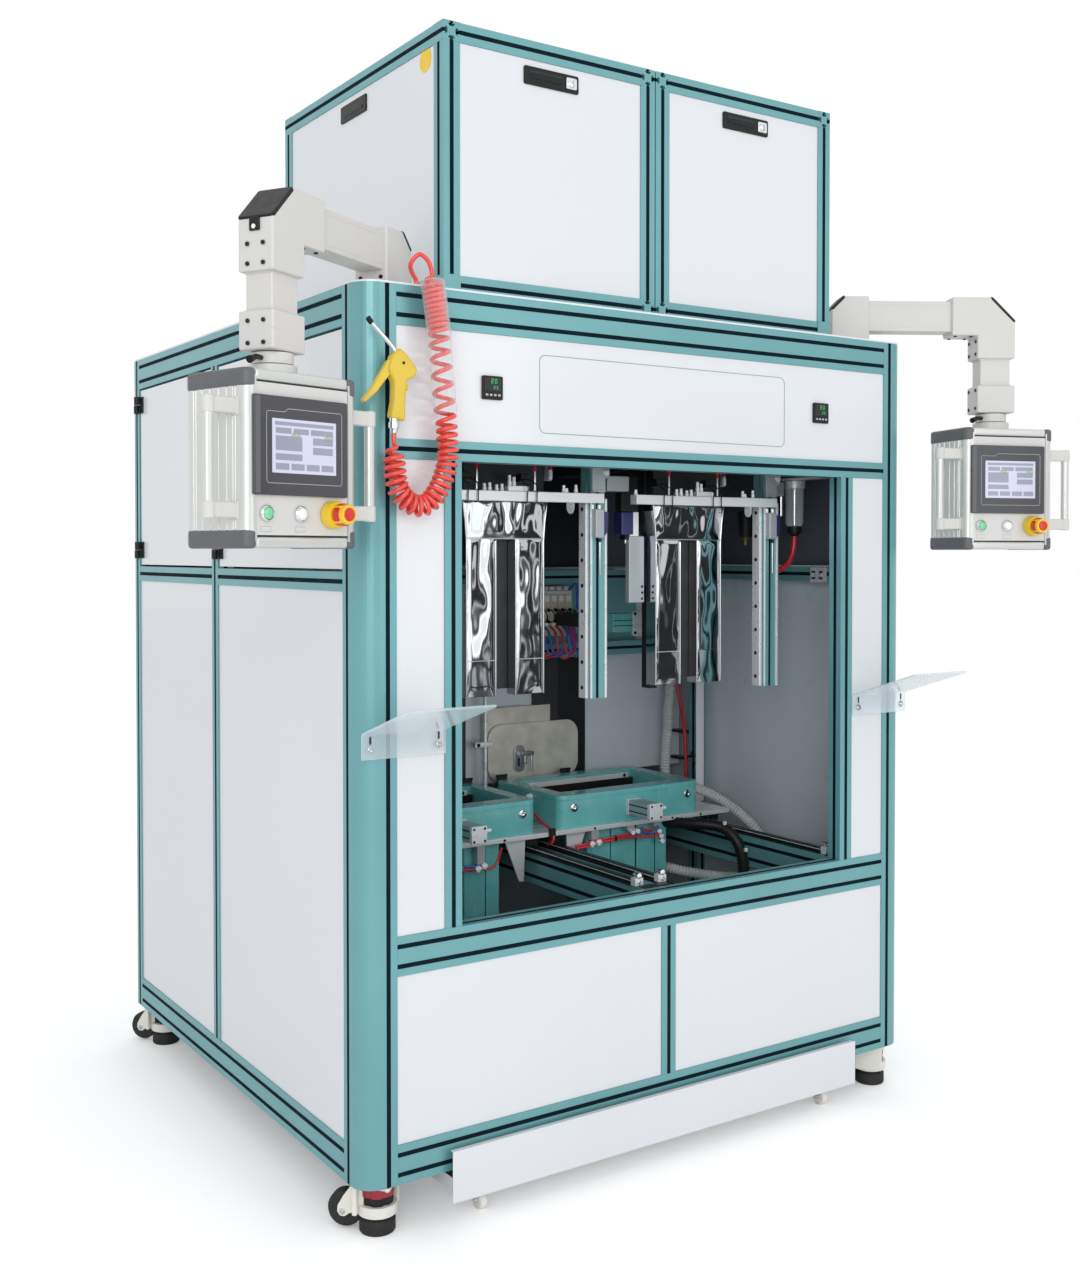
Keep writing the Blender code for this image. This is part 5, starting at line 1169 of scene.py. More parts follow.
def header_fittings():
    """Two small panel controllers and the bare outlined field between them."""
    header = Shape("header_fittings", "machine").use(LINE_GREEN)
    x_low, x_high, z_low, z_high = -0.352, 0.354, 1.522, 1.687
    ring = [(x, 0.0027, z) for x, z in rounded_outline(x_low, x_high, z_low, z_high, 0.014, 6)]
    header.tube(ring + ring[:2], 0.0008, 6)
    for x in (-0.472, 0.472):
        header.use(BLACK).prism(plate_outline(0.0245, 0.0245, 0.003), 0.007, on_front(x, 0.0032, METER_Z),
                                0.0012, 2)
        header.use(DARK).prism(rounded_outline(-0.02, 0.02, -0.007, 0.0205, 0.0015), 0.0004,
                               on_front(x, -0.0036, METER_Z))
        header.use(GREEN_DIGIT)
        for k, digit in enumerate("20"):
            seven_segments(header, digit, x - 0.004 + 0.009 * k, 1.6185, -0.0041, 0.0085)
        for k, digit in enumerate("25"):
            seven_segments(header, digit, x + 0.002 + 0.007 * k, 1.6065, -0.0041, 0.0058)
        header.use(OUTLINE)
        for k in range(4):
            header.prism(plate_outline(0.003, 0.0022, 0.0012, 3), 0.0008,
                         on_front(x - 0.015 + 0.01 * k, -0.0036, 1.594), 0.0)
    header.make()


def bent_shelf(side, label):
    """Clear folded shelf: flange with two tabs, bend and sloping deck."""
    shelf = Shape("%s_shelf_detail" % label, "machine").use(CLEAR)
    middle = side * 0.68
    thick = 0.0048
    fold = 0.007
    rise = math.atan2(0.065, 0.2)
    line = [(0.0, -0.0545), (0.0, -0.02), (0.0, -fold)]
    for k in range(1, 6):
        turn = (math.pi / 2 - rise) * k / 5
        line.append((fold * (1 - math.cos(turn)), -fold + fold * math.sin(turn)))
    start = line[-1]
    reach = 0.199 - start[0]
    line.append((0.1985, start[1] + math.tan(rise) * reach))
    outer = []
    for k, (y, z) in enumerate(line):
        before = Vector(line[max(k - 1, 0)])
        after = Vector(line[min(k + 1, len(line) - 1)])
        way = (after - before).normalized()
        outer.append((y + way.y * thick, z - way.x * thick))
    outline = line + outer[::-1]
    place = facing_left(middle + 0.0948, -0.0005, 0.915)
    shelf.prism(outline, 0.1896, place, 0.0008, 1)
    for edge in (-0.077, 0.077):
        x = middle + edge
        shelf.use(STEEL).lathe([(0.0078, 0.0), (0.0078, 0.001), (0.0045, 0.0011)],
                               on_front(x, -0.0053, 0.88), 20)
        shelf.use(CHROME).screw((x, -0.0062, 0.88), (0, -1, 0), 0.0046, 0.0034)
        shelf.use(DARK).prism(plate_outline(0.0023, 0.008, 0.0022, 3), 0.0003, on_front(x, -0.0053, 0.899))
    shelf.make("%s_shelf" % label)


slot_shade_strips()
wall_sheets()
cabinet_fittings()
door_hinges()
header_fittings()
bent_shelf(-1, "left")
bent_shelf(1, "right")


# ---------------------------------------------------------------- filling stations

def wavy_sheet(shape, edges, y, rise, size, seed, columns=26, rows=60):
    """A polished sheet with hand-worked waves: edges gives left x, right x and z from the bottom up."""
    part = bmesh.new()
    low, high = edges[0][2], edges[-1][2]
    grid = []
    for i in range(rows + 1):
        z = low + (high - low) * i / rows
        k = max(j for j in range(len(edges) - 1) if edges[j][2] <= z + 1e-9)
        share = (z - edges[k][2]) / (edges[k + 1][2] - edges[k][2])
        left = edges[k][0] + (edges[k + 1][0] - edges[k][0]) * share
        right = edges[k][1] + (edges[k + 1][1] - edges[k][1]) * share
        row = []
        for j in range(columns + 1):
            across = j / columns
            x = left + (right - left) * across
            calm = min(1.0, across * 8, (1 - across) * 8, (z - low) / 0.02, (high - z) / 0.01)
            calm *= 0.35 + 0.65 * (z - low) / (high - low)
            spot = Vector((x / size, z / (size * 1.9), seed))
            wave = mathutils.noise.noise(spot) + 0.45 * mathutils.noise.noise(spot * 2.3)
            row.append(part.verts.new((x, y - rise * max(calm, 0.0) * (wave + 0.9), z)))
        grid.append(row)
    for one, two in zip(grid, grid[1:]):
        for k in range(columns):
            part.faces.new((one[k], one[k + 1], two[k + 1], two[k]))
    for face in part.faces:
        face.smooth = True
    shape.add(part)


def spout(side, label):
    """Polished folded spout: flaring hopper, waist and two channel legs with turned edges."""
    x = side * 0.274
    spout_shape = Shape("%s_spout_detail" % label, "machine", MACHINE @ at(x, 0, 0)).use(MIRROR)
    outline = [(-0.1065, 0.937), (-0.0265, 0.937), (-0.0265, 1.3), (0.0265, 1.3), (0.0265, 0.937),
               (0.1065, 0.937), (0.1065, 1.29), (0.11, 1.34), (0.116, 1.385), (0.116, 1.399),
               (-0.116, 1.399), (-0.116, 1.385), (-0.11, 1.34), (-0.1065, 1.29)]
    spout_shape.prism(outline, 0.0355, on_front(0.0, 0.2995, 0.0), 0.0)
    spout_shape.boxes(DARK, (-0.11, 0.2665, 1.399, 0.11, 0.2995, 1.799, 0.002))
    spout_shape.use(MIRROR)
    wavy_sheet(spout_shape, [(-0.105, -0.028, 0.9385), (-0.105, -0.028, 1.3)], 0.2638, 0.0019, 0.07,
               side * 3.1)
    wavy_sheet(spout_shape, [(0.028, 0.105, 0.9385), (0.028, 0.105, 1.3)], 0.2638, 0.0019, 0.07,
               side * 3.1 + 7.0)
    wavy_sheet(spout_shape, [(-0.105, 0.105, 1.301), (-0.109, 0.109, 1.342), (-0.115, 0.115, 1.386),
                             (-0.115, 0.115, 1.3985)], 0.2638, 0.0026, 0.06, side * 5.3, 60, 34)
    spout_shape.use(CHROME)
    for x_edge in (-0.1052, -0.0278, 0.0278, 0.1052):
        spout_shape.tube([(x_edge, 0.2622, 0.9375), (x_edge, 0.2622, 1.295)], 0.0021, 8)
    for hand in (-1, 1):
        path = [(hand * 0.1052, 0.2622, 1.295), (hand * 0.109, 0.2622, 1.342),
                (hand * 0.115, 0.2622, 1.386), (hand * 0.115, 0.2622, 1.399)]
        spout_shape.tube(path, 0.0021, 8)
    spout_shape.tube([(-0.105, 0.2618, 1.3005), (0.105, 0.2618, 1.3005)], 0.0016, 8)
    spout_shape.tube([(-0.105, 0.2618, 1.02), (-0.028, 0.2618, 1.02)], 0.0008, 6)
    spout_shape.tube([(0.028, 0.2618, 1.02), (0.105, 0.2618, 1.02)], 0.0008, 6)
    spout_shape.boxes(STEEL, (-0.026, 0.293, 0.95, -0.004, 0.2985, 1.299, 0.001))
    spout_shape.boxes(DARK, (-0.0035, 0.295, 0.95, 0.026, 0.2985, 1.299, 0.001))
    spout_shape.use(STEEL).rod((-0.015, 0.289, 0.97), (-0.015, 0.289, 1.299), 0.0045, 0.001, 14)
    spout_shape.make("%s_spout" % label)


def slotted_outline(width, height):
    """Section of a slotted bar."""
    steps = ((-0.0041, 0.0), (-0.0041, 0.0045), (-0.0086, 0.0051), (-0.0045, 0.0106), (0.0045, 0.0106),
             (0.0086, 0.0051), (0.0041, 0.0045), (0.0041, 0.0))
    outline = []
    for corner, along, inward, length in (((0, 0), (1, 0), (0, 1), width),
                                          ((width, 0), (0, 1), (-1, 0), height),
                                          ((width, height), (-1, 0), (0, -1), width),
                                          ((0, height), (0, -1), (1, 0), height)):
        outline.append(corner)
        for k in range(round(length / 0.04)):
            reach = 0.02 + 0.04 * k
            outline += [(corner[0] + along[0] * (reach + a) + inward[0] * b,
                         corner[1] + along[1] * (reach + a) + inward[1] * b) for a, b in steps]
    return outline


def lift_guide(side, label):
    """Slotted post with its linear rail, slider, clamp bar, fittings and hooks."""
    x = side * 0.274 + 0.21
    guide = Shape("%s_guide_detail" % label, "machine", MACHINE @ at(x, 0, 0)).use(TEAL)
    guide.prism(slotted_outline(0.04, 0.04), 0.8745, at(-0.02, 0.19, 0.925), 0.0)
    # Painted shade in the slots of the post.
    guide.use(SLOT_SHADE)
    for low, high in (((-0.0039, 0.1924, 0.9255), (0.0039, 0.193, 1.799)),
                      ((0.017, 0.2061, 0.9255), (0.0176, 0.2139, 1.799))):
        guide.box(low, high, 0.0)
    guide.boxes(
        ALU, (-0.03, 0.196, 0.9255, -0.0205, 0.224, 1.385, 0.0012),
        (-0.0215, 0.1862, 0.9255, -0.017, 0.19, 1.385, 0.0006),
        (0.0195, 0.186, 0.9255, 0.0255, 0.205, 1.395, 0.0008))
    guide.use(BLACK)
    for k in range(8):
        z = 0.95 + 0.06 * k
        guide.lathe([(0.0048, 0.0), (0.0048, 0.0006), (0.0, 0.0007)], facing_left(-0.0301, 0.21, z), 16)
    guide.lathe([(0.0, -0.0005), (0.0042, 0.0), (0.0042, 0.008), (0.0, 0.0085)],
                at(0.002, 0.183, 1.293), 16)
    guide.use(CHROME)
    guide.rod((0.002, 0.183, 1.215), (0.002, 0.183, 1.295), 0.0022, 0.0004, 12)
    guide.boxes(DULL_ALU, (-0.019, 0.17, 1.303, 0.006, 0.189, 1.37, 0.0025, 3))
    guide.use(NAVY)
    blue = [(0.0062, 1.364), (0.0062, 1.312), (0.01, 1.308), (0.017, 1.318), (0.0195, 1.338),
            (0.0195, 1.364)]
    guide.prism(blue, 0.012, on_front(0.0, 0.184, 0.0), 0.0012, 2)
    guide.boxes(
        ALU, (-0.45, 0.166, 1.3835, 0.003, 0.1915, 1.406, 0.0016, 3),
        (-0.26, 0.17, 1.4055, -0.205, 0.188, 1.418, 0.0012))
    guide.use(WHITE_LENS)
    for dx, tall in ((-0.443, 0.012), (-0.318, 0.016), (-0.304, 0.018), (-0.286, 0.014), (-0.272, 0.016),
                     (-0.252, 0.024), (-0.24, 0.02), (-0.104, 0.017), (-0.096, 0.01), (-0.07, 0.019)):
        base = 1.4175 if -0.262 < dx < -0.203 else 1.4058
        guide.lathe([(0.0048, 0.0), (0.0048, tall * 0.45), (0.0036, tall * 0.5), (0.0036, tall),
                     (0.0, tall + 0.001)], at(dx, 0.179, base), 14)
    for dx in (-0.026, -0.006):
        guide.lathe([(0.004, 0.0), (0.004, 0.01), (0.0, 0.011)], at(dx, 0.175, 1.3695), 12)
    guide.use(BLACK)
    for middle in (-0.355, -0.2):
        for dx in (-0.013, 0.013):
            x_hook = middle + dx
            hook = smooth_path([(x_hook + 0.004, 0.23, 1.442), (x_hook + 0.002, 0.195, 1.433),
                                (x_hook, 0.164, 1.418), (x_hook - 0.001, 0.1632, 1.398),
                                (x_hook - 0.002, 0.1635, 1.3815), (x_hook - 0.0005, 0.18, 1.38)], 5)
            guide.tube(hook, 0.0013, 8)
        guide.boxes(
            None, (middle - 0.015, 0.19, 1.428, middle + 0.015, 0.235, 1.434, 0.0015),
            (middle - 0.01, 0.196, 1.434, middle + 0.01, 0.22, 1.448, 0.002))
    guide.use(STEEL)
    for middle in (-0.355, -0.2):
        guide.rod((middle + 0.03, 0.2, 1.409), (middle + 0.03, 0.2, 1.455), 0.0038, 0.0008, 12)
    guide.use(TUBE_RED)
    for middle in (-0.325, -0.17):
        guide.tube(smooth_path([(middle, 0.2, 1.455), (middle + 0.001, 0.204, 1.475),
                                (middle + 0.006, 0.222, 1.52), (middle + 0.004, 0.235, 1.6)], 5), 0.004, 10)
    guide.use(DULL_ALU)
    guide.rod((-0.01, 0.212, 1.46), (0.034, 0.196, 1.46), 0.018, 0.002, 28, steps=2)
    guide.box((-0.018, 0.185, 1.41), (0.02, 0.1898, 1.47), 0.001)
    guide.use(CLEAR).lathe([(0.0, -0.003), (0.006, 0.0), (0.009, 0.008), (0.0095, 0.022), (0.007, 0.026),
                            (0.0, 0.0262)], at(-0.085, 0.179, 1.36), 18)
    guide.make("%s_lift_guide" % label)


for station_side, station_label in ((-1, "left"), (1, "right")):
    spout(station_side, station_label)
    lift_guide(station_side, station_label)


# ---------------------------------------------------------------- moulds and their carriage

def mould(side, label):
    """Enamelled mould box: raised rim, open cavity, press cylinder, plugs and inner bars."""
    x = side * 0.27
    bottom, top = 0.5523, 0.6383
    place = MACHINE @ at(x, 0, 0)
    box = Shape("%s_mould_detail" % label, "carriage", place).use(ENAMEL)
    y_low, y_high = 0.49, 0.81
    part = bmesh.new()
    loops = []
    outer = (-0.235, 0.235, y_low, y_high, 0.025)
    groove = (-0.2335, 0.2335, y_low + 0.0015, y_high - 0.0015, 0.024)
    mouth = (-0.195, 0.195, 0.545, 0.755, 0.004)
    walls = ((outer, bottom), (outer, top - 0.016), (groove, top - 0.015), (groove, top - 0.013),
             (outer, top - 0.012), (outer, top - 0.002),
             ((-0.233, 0.233, y_low + 0.002, y_high - 0.002, 0.023), top),
             ((-0.197, 0.197, 0.543, 0.757, 0.006), top), (mouth, top - 0.002), (mouth, bottom + 0.012))
    for rim, z in walls:
        loops.append([part.verts.new((px, py, z)) for px, py in rounded_outline(*rim)])
    count = len(loops[0])
    for one, two in zip(loops, loops[1:]):
        for k in range(count):
            other = (k + 1) % count
            part.faces.new((one[k], one[other], two[other], two[k]))
    part.faces.new(loops[0])
    part.faces.new(loops[-1])
    box.add(part)
    box.boxes(
        ALU, (-0.19, 0.73, top - 0.019, 0.17, 0.748, top - 0.005, 0.0015),
        (-0.185, 0.552, bottom + 0.02, 0.185, 0.564, top - 0.026, 0.0015))
    box.use(BLACK)
    box.rod((0.156, 0.7295, top - 0.012), (0.156, 0.731, top - 0.012), 0.0055, 0.0006, 18)
    box.box((-0.19, 0.734, bottom + 0.018), (0.19, 0.75, top - 0.02), 0.001)
    box.boxes(DARK, (-0.1945, 0.5455, bottom + 0.012, 0.1945, 0.7545, bottom + 0.014, 0.0))
    box.use(CHROME)
    for plug in (-0.19, 0.19):
        box.lathe([(0.0115, 0.0), (0.0115, 0.002), (0.01, 0.0034), (0.004, 0.0034), (0.004, 0.0018),
                   (0.0, 0.0016)], on_front(plug, 0.4901, 0.605), 24)
    box.use(DULL_ALU)
    square = plate_outline(0.02, 0.02, 0.004)
    low_axis = 0.59
    box.prism(square, 0.094, on_front(0.0, 0.491, low_axis), 0.0)
    box.use(ALU)
    for y in (0.3975, 0.4905):
        box.prism(plate_outline(0.0218, 0.0218, 0.0045), 0.012, on_front(0.0, y, low_axis), 0.0012, 2)
    box.use(BLACK)
    for dx in (-0.015, 0.015):
        for dz in (-0.015, 0.015):
            box.screw((dx, 0.3856, low_axis + dz), (0, -1, 0), 0.0034, 0.0004)
    # Painted shade in the grooves along the press cylinder's body.
    box.use(SLOT_SHADE)
    for dz in (-0.0085, 0.0085):
        box.boxes(
            None, (-0.0203, 0.3985, low_axis + dz - 0.0015, -0.0196, 0.478, low_axis + dz + 0.0015, 0.0),
            (0.0196, 0.3985, low_axis + dz - 0.0015, 0.0203, 0.478, low_axis + dz + 0.0015, 0.0))
    box.use(WHITE_LENS)
    for y in (0.4, 0.47):
        box.lathe([(0.0062, 0.0), (0.0062, 0.008), (0.0046, 0.0085), (0.0046, 0.019), (0.0, 0.0195)],
                  facing_right(0.021, y, low_axis + 0.006), 14)
    box.make("%s_mould" % label)


def carriage():
    """The sliding plate, bearing blocks, pedestals and the tubes below."""
    car = Shape("mould_carriage_detail", "carriage").use(ALU)
    low, high = 0.54, 0.552
    car.box((-0.605, 0.48, low), (0.605, 0.775, high), 0.0012)
    car.use(STEEL)
    for x in RAILS:
        for y in (0.51, 0.705):
            car.box((x - 0.0153, y + 0.004, 0.5145), (x + 0.0153, y + 0.037, low + 0.0005), 0.0015)
            car.boxes(
                BLACK, (x - 0.015, y, 0.515, x + 0.015, y + 0.0045, low, 0.001),
                (x - 0.015, y + 0.0365, 0.515, x + 0.015, y + 0.0408, low, 0.001))
            car.use(STEEL)
    for side in (-1, 1):
        x = side * 0.27
        car.boxes(
            ENAMEL, (x - 0.134, 0.51, 0.34, x + 0.134, 0.73, 0.5395, 0.004, 3),
            (x - 0.12, 0.5085, 0.36, x - 0.03, 0.511, 0.52, 0.001),
            (x + 0.03, 0.5085, 0.36, x + 0.12, 0.511, 0.52, 0.001))
        car.use(STEEL)
        gusset = [(-0.002, 0.5398), (-0.064, 0.5398), (-0.02, 0.43), (-0.006, 0.43)]
        hand = 1 if side < 0 else -1
        corners = [(x + hand * (0.208 + dx), z) for dx, z in gusset]
        car.use(ALU).prism(corners if hand < 0 else corners[::-1], 0.005, on_front(0.0, 0.506, 0.0),
                           0.0008, 1)
        car.use(STEEL)
    for x in (-0.5, -0.4, -0.14, 0.14, 0.4, 0.5):
        car.use(BLACK).screw((x, 0.4798, 0.546), (0, -1, 0), 0.0035, 0.001)
    runs = (((0.078, 0.506), (0.11, 0.508), (0.145, 0.513), (0.2, 0.516), (0.262, 0.5185), TUBE_RED),
            ((0.082, 0.499), (0.115, 0.502), (0.15, 0.507), (0.205, 0.509), (0.27, 0.508), (0.335, 0.504),
             TUBE_RED), ((0.29, 0.529), (0.305, 0.515), (0.325, 0.512), (0.345, 0.518), (0.352, 0.53),
                         TUBE_BLUE), ((0.298, 0.53), (0.312, 0.522), (0.33, 0.52), (0.35, 0.505),
                                      (0.358, 0.49), TUBE_RED),
            ((-0.3, 0.49), (-0.262, 0.488), (-0.215, 0.483), (-0.18, 0.483), (-0.16, 0.496), (-0.15, 0.53),
             TUBE_RED), ((-0.31, 0.496), (-0.262, 0.494), (-0.215, 0.491), (-0.2, 0.492), TUBE_BLUE))
    for run in runs:
        car.use(run[-1])
        spots = [(p[0], 0.478 if k % 2 else 0.482, p[1]) for k, p in enumerate(run[:-1])]
        car.tube(smooth_path(spots, 6), 0.0034, 10)
    for x, z in ((0.13, 0.506), (0.152, 0.508), (-0.2, 0.49), (-0.218, 0.485)):
        car.use(WHITE_LENS)
        car.rod((x - 0.008, 0.479, z), (x + 0.008, 0.479, z), 0.0056, 0.001, 14)
        car.rod((x, 0.479, z - 0.008), (x, 0.479, z + 0.008), 0.005, 0.001, 14)
    for x, z in ((0.262, 0.522), (0.278, 0.524), (0.352, 0.516), (0.358, 0.502), (0.362, 0.488)):
        car.use(CHROME).rod((x - 0.007, 0.48, z - 0.003), (x + 0.007, 0.48, z + 0.003), 0.006, 0.001, 14)
        car.use(WHITE_LENS).rod((x, 0.472, z), (x, 0.488, z), 0.0066, 0.001, 14)
    for x, z in ((0.262, 0.533), (0.352, 0.533), (0.145, 0.52), (-0.205, 0.5)):
        car.boxes(DULL_ALU, (x - 0.012, 0.484, z - 0.006, x + 0.012, 0.508, 0.54, 0.0015))
    car.use(BLACK).rod((0.202, 0.479, 0.5125), (0.208, 0.479, 0.5125), 0.008, 0.001, 14)
    # Thin lines of painted shade on the fronts of the pedestals.
    for side in (-1, 1):
        for dx in (-0.06, 0.025, 0.09):
            car.boxes(SLOT_SHADE, (side * 0.27 + dx, 0.5075, 0.345, side * 0.27 + dx + 0.002, 0.51, 0.539, 0.0))
    car.make("mould_carriage")


def rail_trim():
    """Steel rails over the beams with end stops."""
    trim = Shape("rail_trim", "machine").use(STEEL)
    for x in RAILS:
        trim.boxes(
            BLACK, (x - 0.0078, 0.085, 0.5, x + 0.0078, 0.8, 0.5142, 0.001),
            (x - 0.015, 0.085, 0.5, x + 0.015, 0.8, 0.5035, 0.0008))
        trim.boxes(
            ALU, (x - 0.0079, 0.086, 0.5085, x + 0.0079, 0.799, 0.511, 0.0004),
            (x - 0.012, 0.066, 0.5003, x + 0.012, 0.0845, 0.519, 0.002))
        trim.use(CHROME)
        trim.rod((x, 0.065, 0.524), (x, 0.084, 0.524), 0.007, 0.001, 16)
        trim.screw((x, 0.0658, 0.509), (0, -1, 0), 0.0045, 0.002)
    for x, w in RAIL_BEAMS:
        trim.boxes(BLACK, (x - w / 2 + 0.001, 0.0403, 0.5001, x + w / 2 - 0.001, 0.064, 0.503, 0.001))
    trim.make()


for mould_side, mould_label in ((-1, "left"), (1, "right")):
    mould(mould_side, mould_label)
carriage()
rail_trim()


# ---------------------------------------------------------------- inside of the packing bay

def ribbed(points, radius, pitch=0.009, depth=0.003):
    """Points and radii of a corrugated hose along a smooth path."""
    path = [Vector(p) for p in smooth_path(points, 8)]
    spots, radii = [path[0]], [radius]
    left, high = pitch / 2, False
    for one, two in zip(path, path[1:]):
        run = (two - one).length
        reach = left
        while reach < run:
            spots.append(one.lerp(two, reach / run))
            radii.append(radius if high else radius - depth)
            high = not high
            reach += pitch / 2
        left = reach - run
    return spots, radii


def back_of_bay():
    """Black backing, slotted beams and dark columns in front of the partition."""
    back = Shape("bay_backing", "machine").use(DARK)
    back.box((-INNER, 0.8588, 1.226), (0.45, 0.8598, BAY_TOP), 0.0)
    back.boxes(SLATE, (0.45, 0.8588, 1.226, INNER, 0.8598, BAY_TOP, 0.0))
    back.boxes(
        DARK, (0.19, 0.845, 0.6205, 0.272, 0.8595, 0.969, 0.0015),
        (-0.105, 0.825, 0.6205, -0.048, 0.8595, 0.969, 0.0015))
    back.boxes(BLACK, (0.272, 0.846, 0.6205, 0.37, 0.8595, 0.969, 0.0015))
    for z, x_low, x_high in ((1.178, -0.734, 0.734), (0.969, -0.32, 0.58)):
        back.use(TEAL)
        back.prism(slotted_outline(0.04, 0.04), x_high - x_low, facing_right(x_low, 0.809, z), 0.0)
        # Painted shade in the slots of the beam.
        back.boxes(
            SLOT_SHADE, (x_low, 0.8114, z + 0.0161, x_high, 0.812, z + 0.0239, 0.0),
            (x_low, 0.8251, z + 0.037, x_high, 0.8329, z + 0.0376, 0.0))
    back.boxes(ALU, (0.45, 0.8092, 1.218, 0.734, PARTITION, 1.2215, 0.0006))
    back.boxes(WHITE, (0.7325, 0.09, 1.23, WALL_FACE, 0.77, 1.233, 0.0006))
    # A real white bar, in the lighter copy of the white lacquer: painted light where it catches light
    # through the opening.
    back.boxes(WHITE_PAINTED_LIGHT, (0.706, 0.742, 0.52, WALL_FACE, 0.746, 1.189, 0.001))
    back.use(BLACK)
    for x, z in ((0.7, 1.0), (0.7, 0.72), (0.695, 0.64)):
        back.box((x, 0.799, z), (x + 0.026, PARTITION, z + 0.008), 0.002)
    back.make()


def plate_and_columns():
    """Rounded steel plate with its latch, press rod, clips, hoses and a red tube at the back."""
    rear = Shape("rear_plate_and_hoses", "machine").use(STEEL_PLATE)
    rear.prism(rounded_outline(0.03, 0.336, 0.625, 0.786, 0.042, 8), 0.003, on_front(0.0, 0.838, 0.0),
               0.0008, 1)
    rear.boxes(
        None, (0.02, 0.842, 0.74, 0.243, PARTITION, 0.833, 0.001),
        (0.1, 0.8425, 0.7, 0.13, 0.8598, 0.74, 0.002), (0.25, 0.8425, 0.7, 0.28, 0.8598, 0.74, 0.002))
    rear.use(STEEL)
    rear.prism(rounded_outline(0.113, 0.147, 0.65, 0.725, 0.016, 6), 0.006, on_front(0.0, 0.833, 0.0),
               0.001, 2)
    rear.box((0.118, 0.813, 0.696), (0.17, 0.827, 0.708), 0.002)
    rear.rod((0.142, 0.82, 0.696), (0.142, 0.82, 0.672), 0.005, 0.001, 14)
    rear.rod((0.165, 0.82, 0.702), (0.165, 0.82, 0.648), 0.0035, 0.0008, 12)
    rear.boxes(DARK, (0.122, 0.825, 0.666, 0.13, 0.8275, 0.69, 0.001))
    rear.use(ALU)
    rear.rod((0.011, 0.82, 0.621), (0.011, 0.82, 0.9695), 0.006, 0.001, 16)
    rear.box((-0.028, 0.808, 0.73), (0.029, 0.832, 0.746), 0.003, 3)
    rear.use(BLACK).screw((-0.018, 0.8078, 0.738), (0, -1, 0), 0.005, 0.004)
    rear.use(TUBE_GREY)
    hose = [(0.662, 0.825, 0.95), (0.66, 0.812, 0.854), (0.647, 0.805, 0.795), (0.641, 0.8, 0.744),
            (0.636, 0.802, 0.67), (0.64, 0.81, 0.6), (0.648, 0.82, 0.55)]
    rear.tube(*ribbed(hose, 0.0155), 16)
    rear.use(BLACK)
    rear.rod((0.662, 0.826, 0.94), (0.662, 0.828, 0.97), 0.015, 0.002, 18)
    rear.rod((0.648, 0.82, 0.515), (0.648, 0.82, 0.56), 0.015, 0.002, 18)
    rear.use(TUBE_RED)
    red = [(0.676, 0.825, 0.969), (0.68, 0.81, 0.89), (0.685, 0.8, 0.83), (0.7, 0.8, 0.77),
           (0.708, 0.8, 0.717), (0.712, 0.8, 0.64), (0.713, 0.802, 0.57), (0.71, 0.82, 0.52)]
    rear.tube(smooth_path(red, 6), 0.0055, 12)
    rear.use(BLACK)
    for x, y, z in ((0.72, 0.786, 0.65), (0.723, 0.766, 0.631)):
        rear.boxes(
            None, (x - 0.006, y - 0.011, z - 0.003, WALL_FACE, y + 0.011, z + 0.003, 0.0015),
            (x - 0.006, y - 0.011, z - 0.003, x - 0.002, y - 0.007, z + 0.016, 0.001))
    rear.make()


def valves():
    """Valve manifold with fittings and looping tubes."""
    bank = Shape("valve_bank_detail", "machine").use(BEIGE)
    x_low, pitch, count = 0.062, 0.0246, 9
    for k in range(count):
        x = x_low + pitch * k
        bank.boxes(BEIGE, (x + 0.0006, 0.79, 1.108, x + pitch - 0.0006, 0.849, 1.15, 0.0012))
        bank.boxes(WHITE_LENS, (x + 0.005, 0.7896, 1.13, x + pitch - 0.005, 0.7902, 1.146, 0.0))
        bank.boxes(BEIGE, (x + 0.001, 0.796, 1.032, x + pitch - 0.001, 0.849, 1.108, 0.0012))
        for z in (1.098, 1.066):
            bank.use(WHITE_LENS)
            way = frame_of((x + pitch / 2, 0.7965, z), (1, 0, 0), (0, 0.5, 0.866), (0, -0.866, 0.5))
            bank.lathe([(0.0085, 0.0), (0.0085, 0.006), (0.0065, 0.007), (0.0065, 0.013), (0.0, 0.014)],
                       way, 16)
            bank.use(BLACK).lathe([(0.0045, 0.013), (0.006, 0.014), (0.005, 0.0175), (0.0, 0.0176)],
                                  way, 14)
    bank.boxes(ALU, (0.061, 0.792, 1.15, 0.284, 0.849, 1.16, 0.001))
    for k in range(count):
        x = x_low + pitch * (k + 0.5)
        bank.boxes(SOLENOID, (x - 0.009, 0.8, 1.16, x + 0.009, 0.84, 1.172, 0.0015))
        bank.use(BLACK)
        wire = [(x, 0.783, 1.102), (x + 0.003, 0.77, 1.106), (x + 0.01, 0.766, 1.09),
                (x + 0.011, 0.774, 1.075), (x + 0.002, 0.785, 1.07)]
        bank.tube(smooth_path(wire, 5), 0.0021, 8)
    for k in range(8):
        bank.use(TUBE_BLUE if k in (0, 3, 4, 7) else TUBE_RED)
        x = 0.1 + 0.021 * k
        low = 0.972 + 0.0035 * ((k * 3) % 5)
        path = [(x, 0.788, 1.062), (x + 0.001, 0.762, 1.042), (x + 0.003, 0.752, low + 0.03),
                (x + 0.012, 0.75, low + 0.004), (x + 0.03, 0.748, low),
                (0.245 + 0.004 * k, 0.756, low + 0.018), (0.264 + 0.003 * k, 0.772, 1.03),
                (0.266 + 0.0026 * k, 0.79, 1.07), (0.275 + 0.0016 * k, 0.83, 1.1),
                (0.289 + 0.001 * k, 0.849, 1.11)]
        bank.tube(smooth_path(path, 5), 0.0034, 10)
    bank.use(TUBE_BLUE)
    arc = [(0.279, 0.8, 1.162), (0.287, 0.785, 1.176), (0.299, 0.786, 1.17), (0.302, 0.79, 1.14),
           (0.296, 0.785, 1.108), (0.282, 0.785, 1.092)]
    bank.tube(smooth_path(arc, 6), 0.004, 10)
    bank.make("valve_bank")


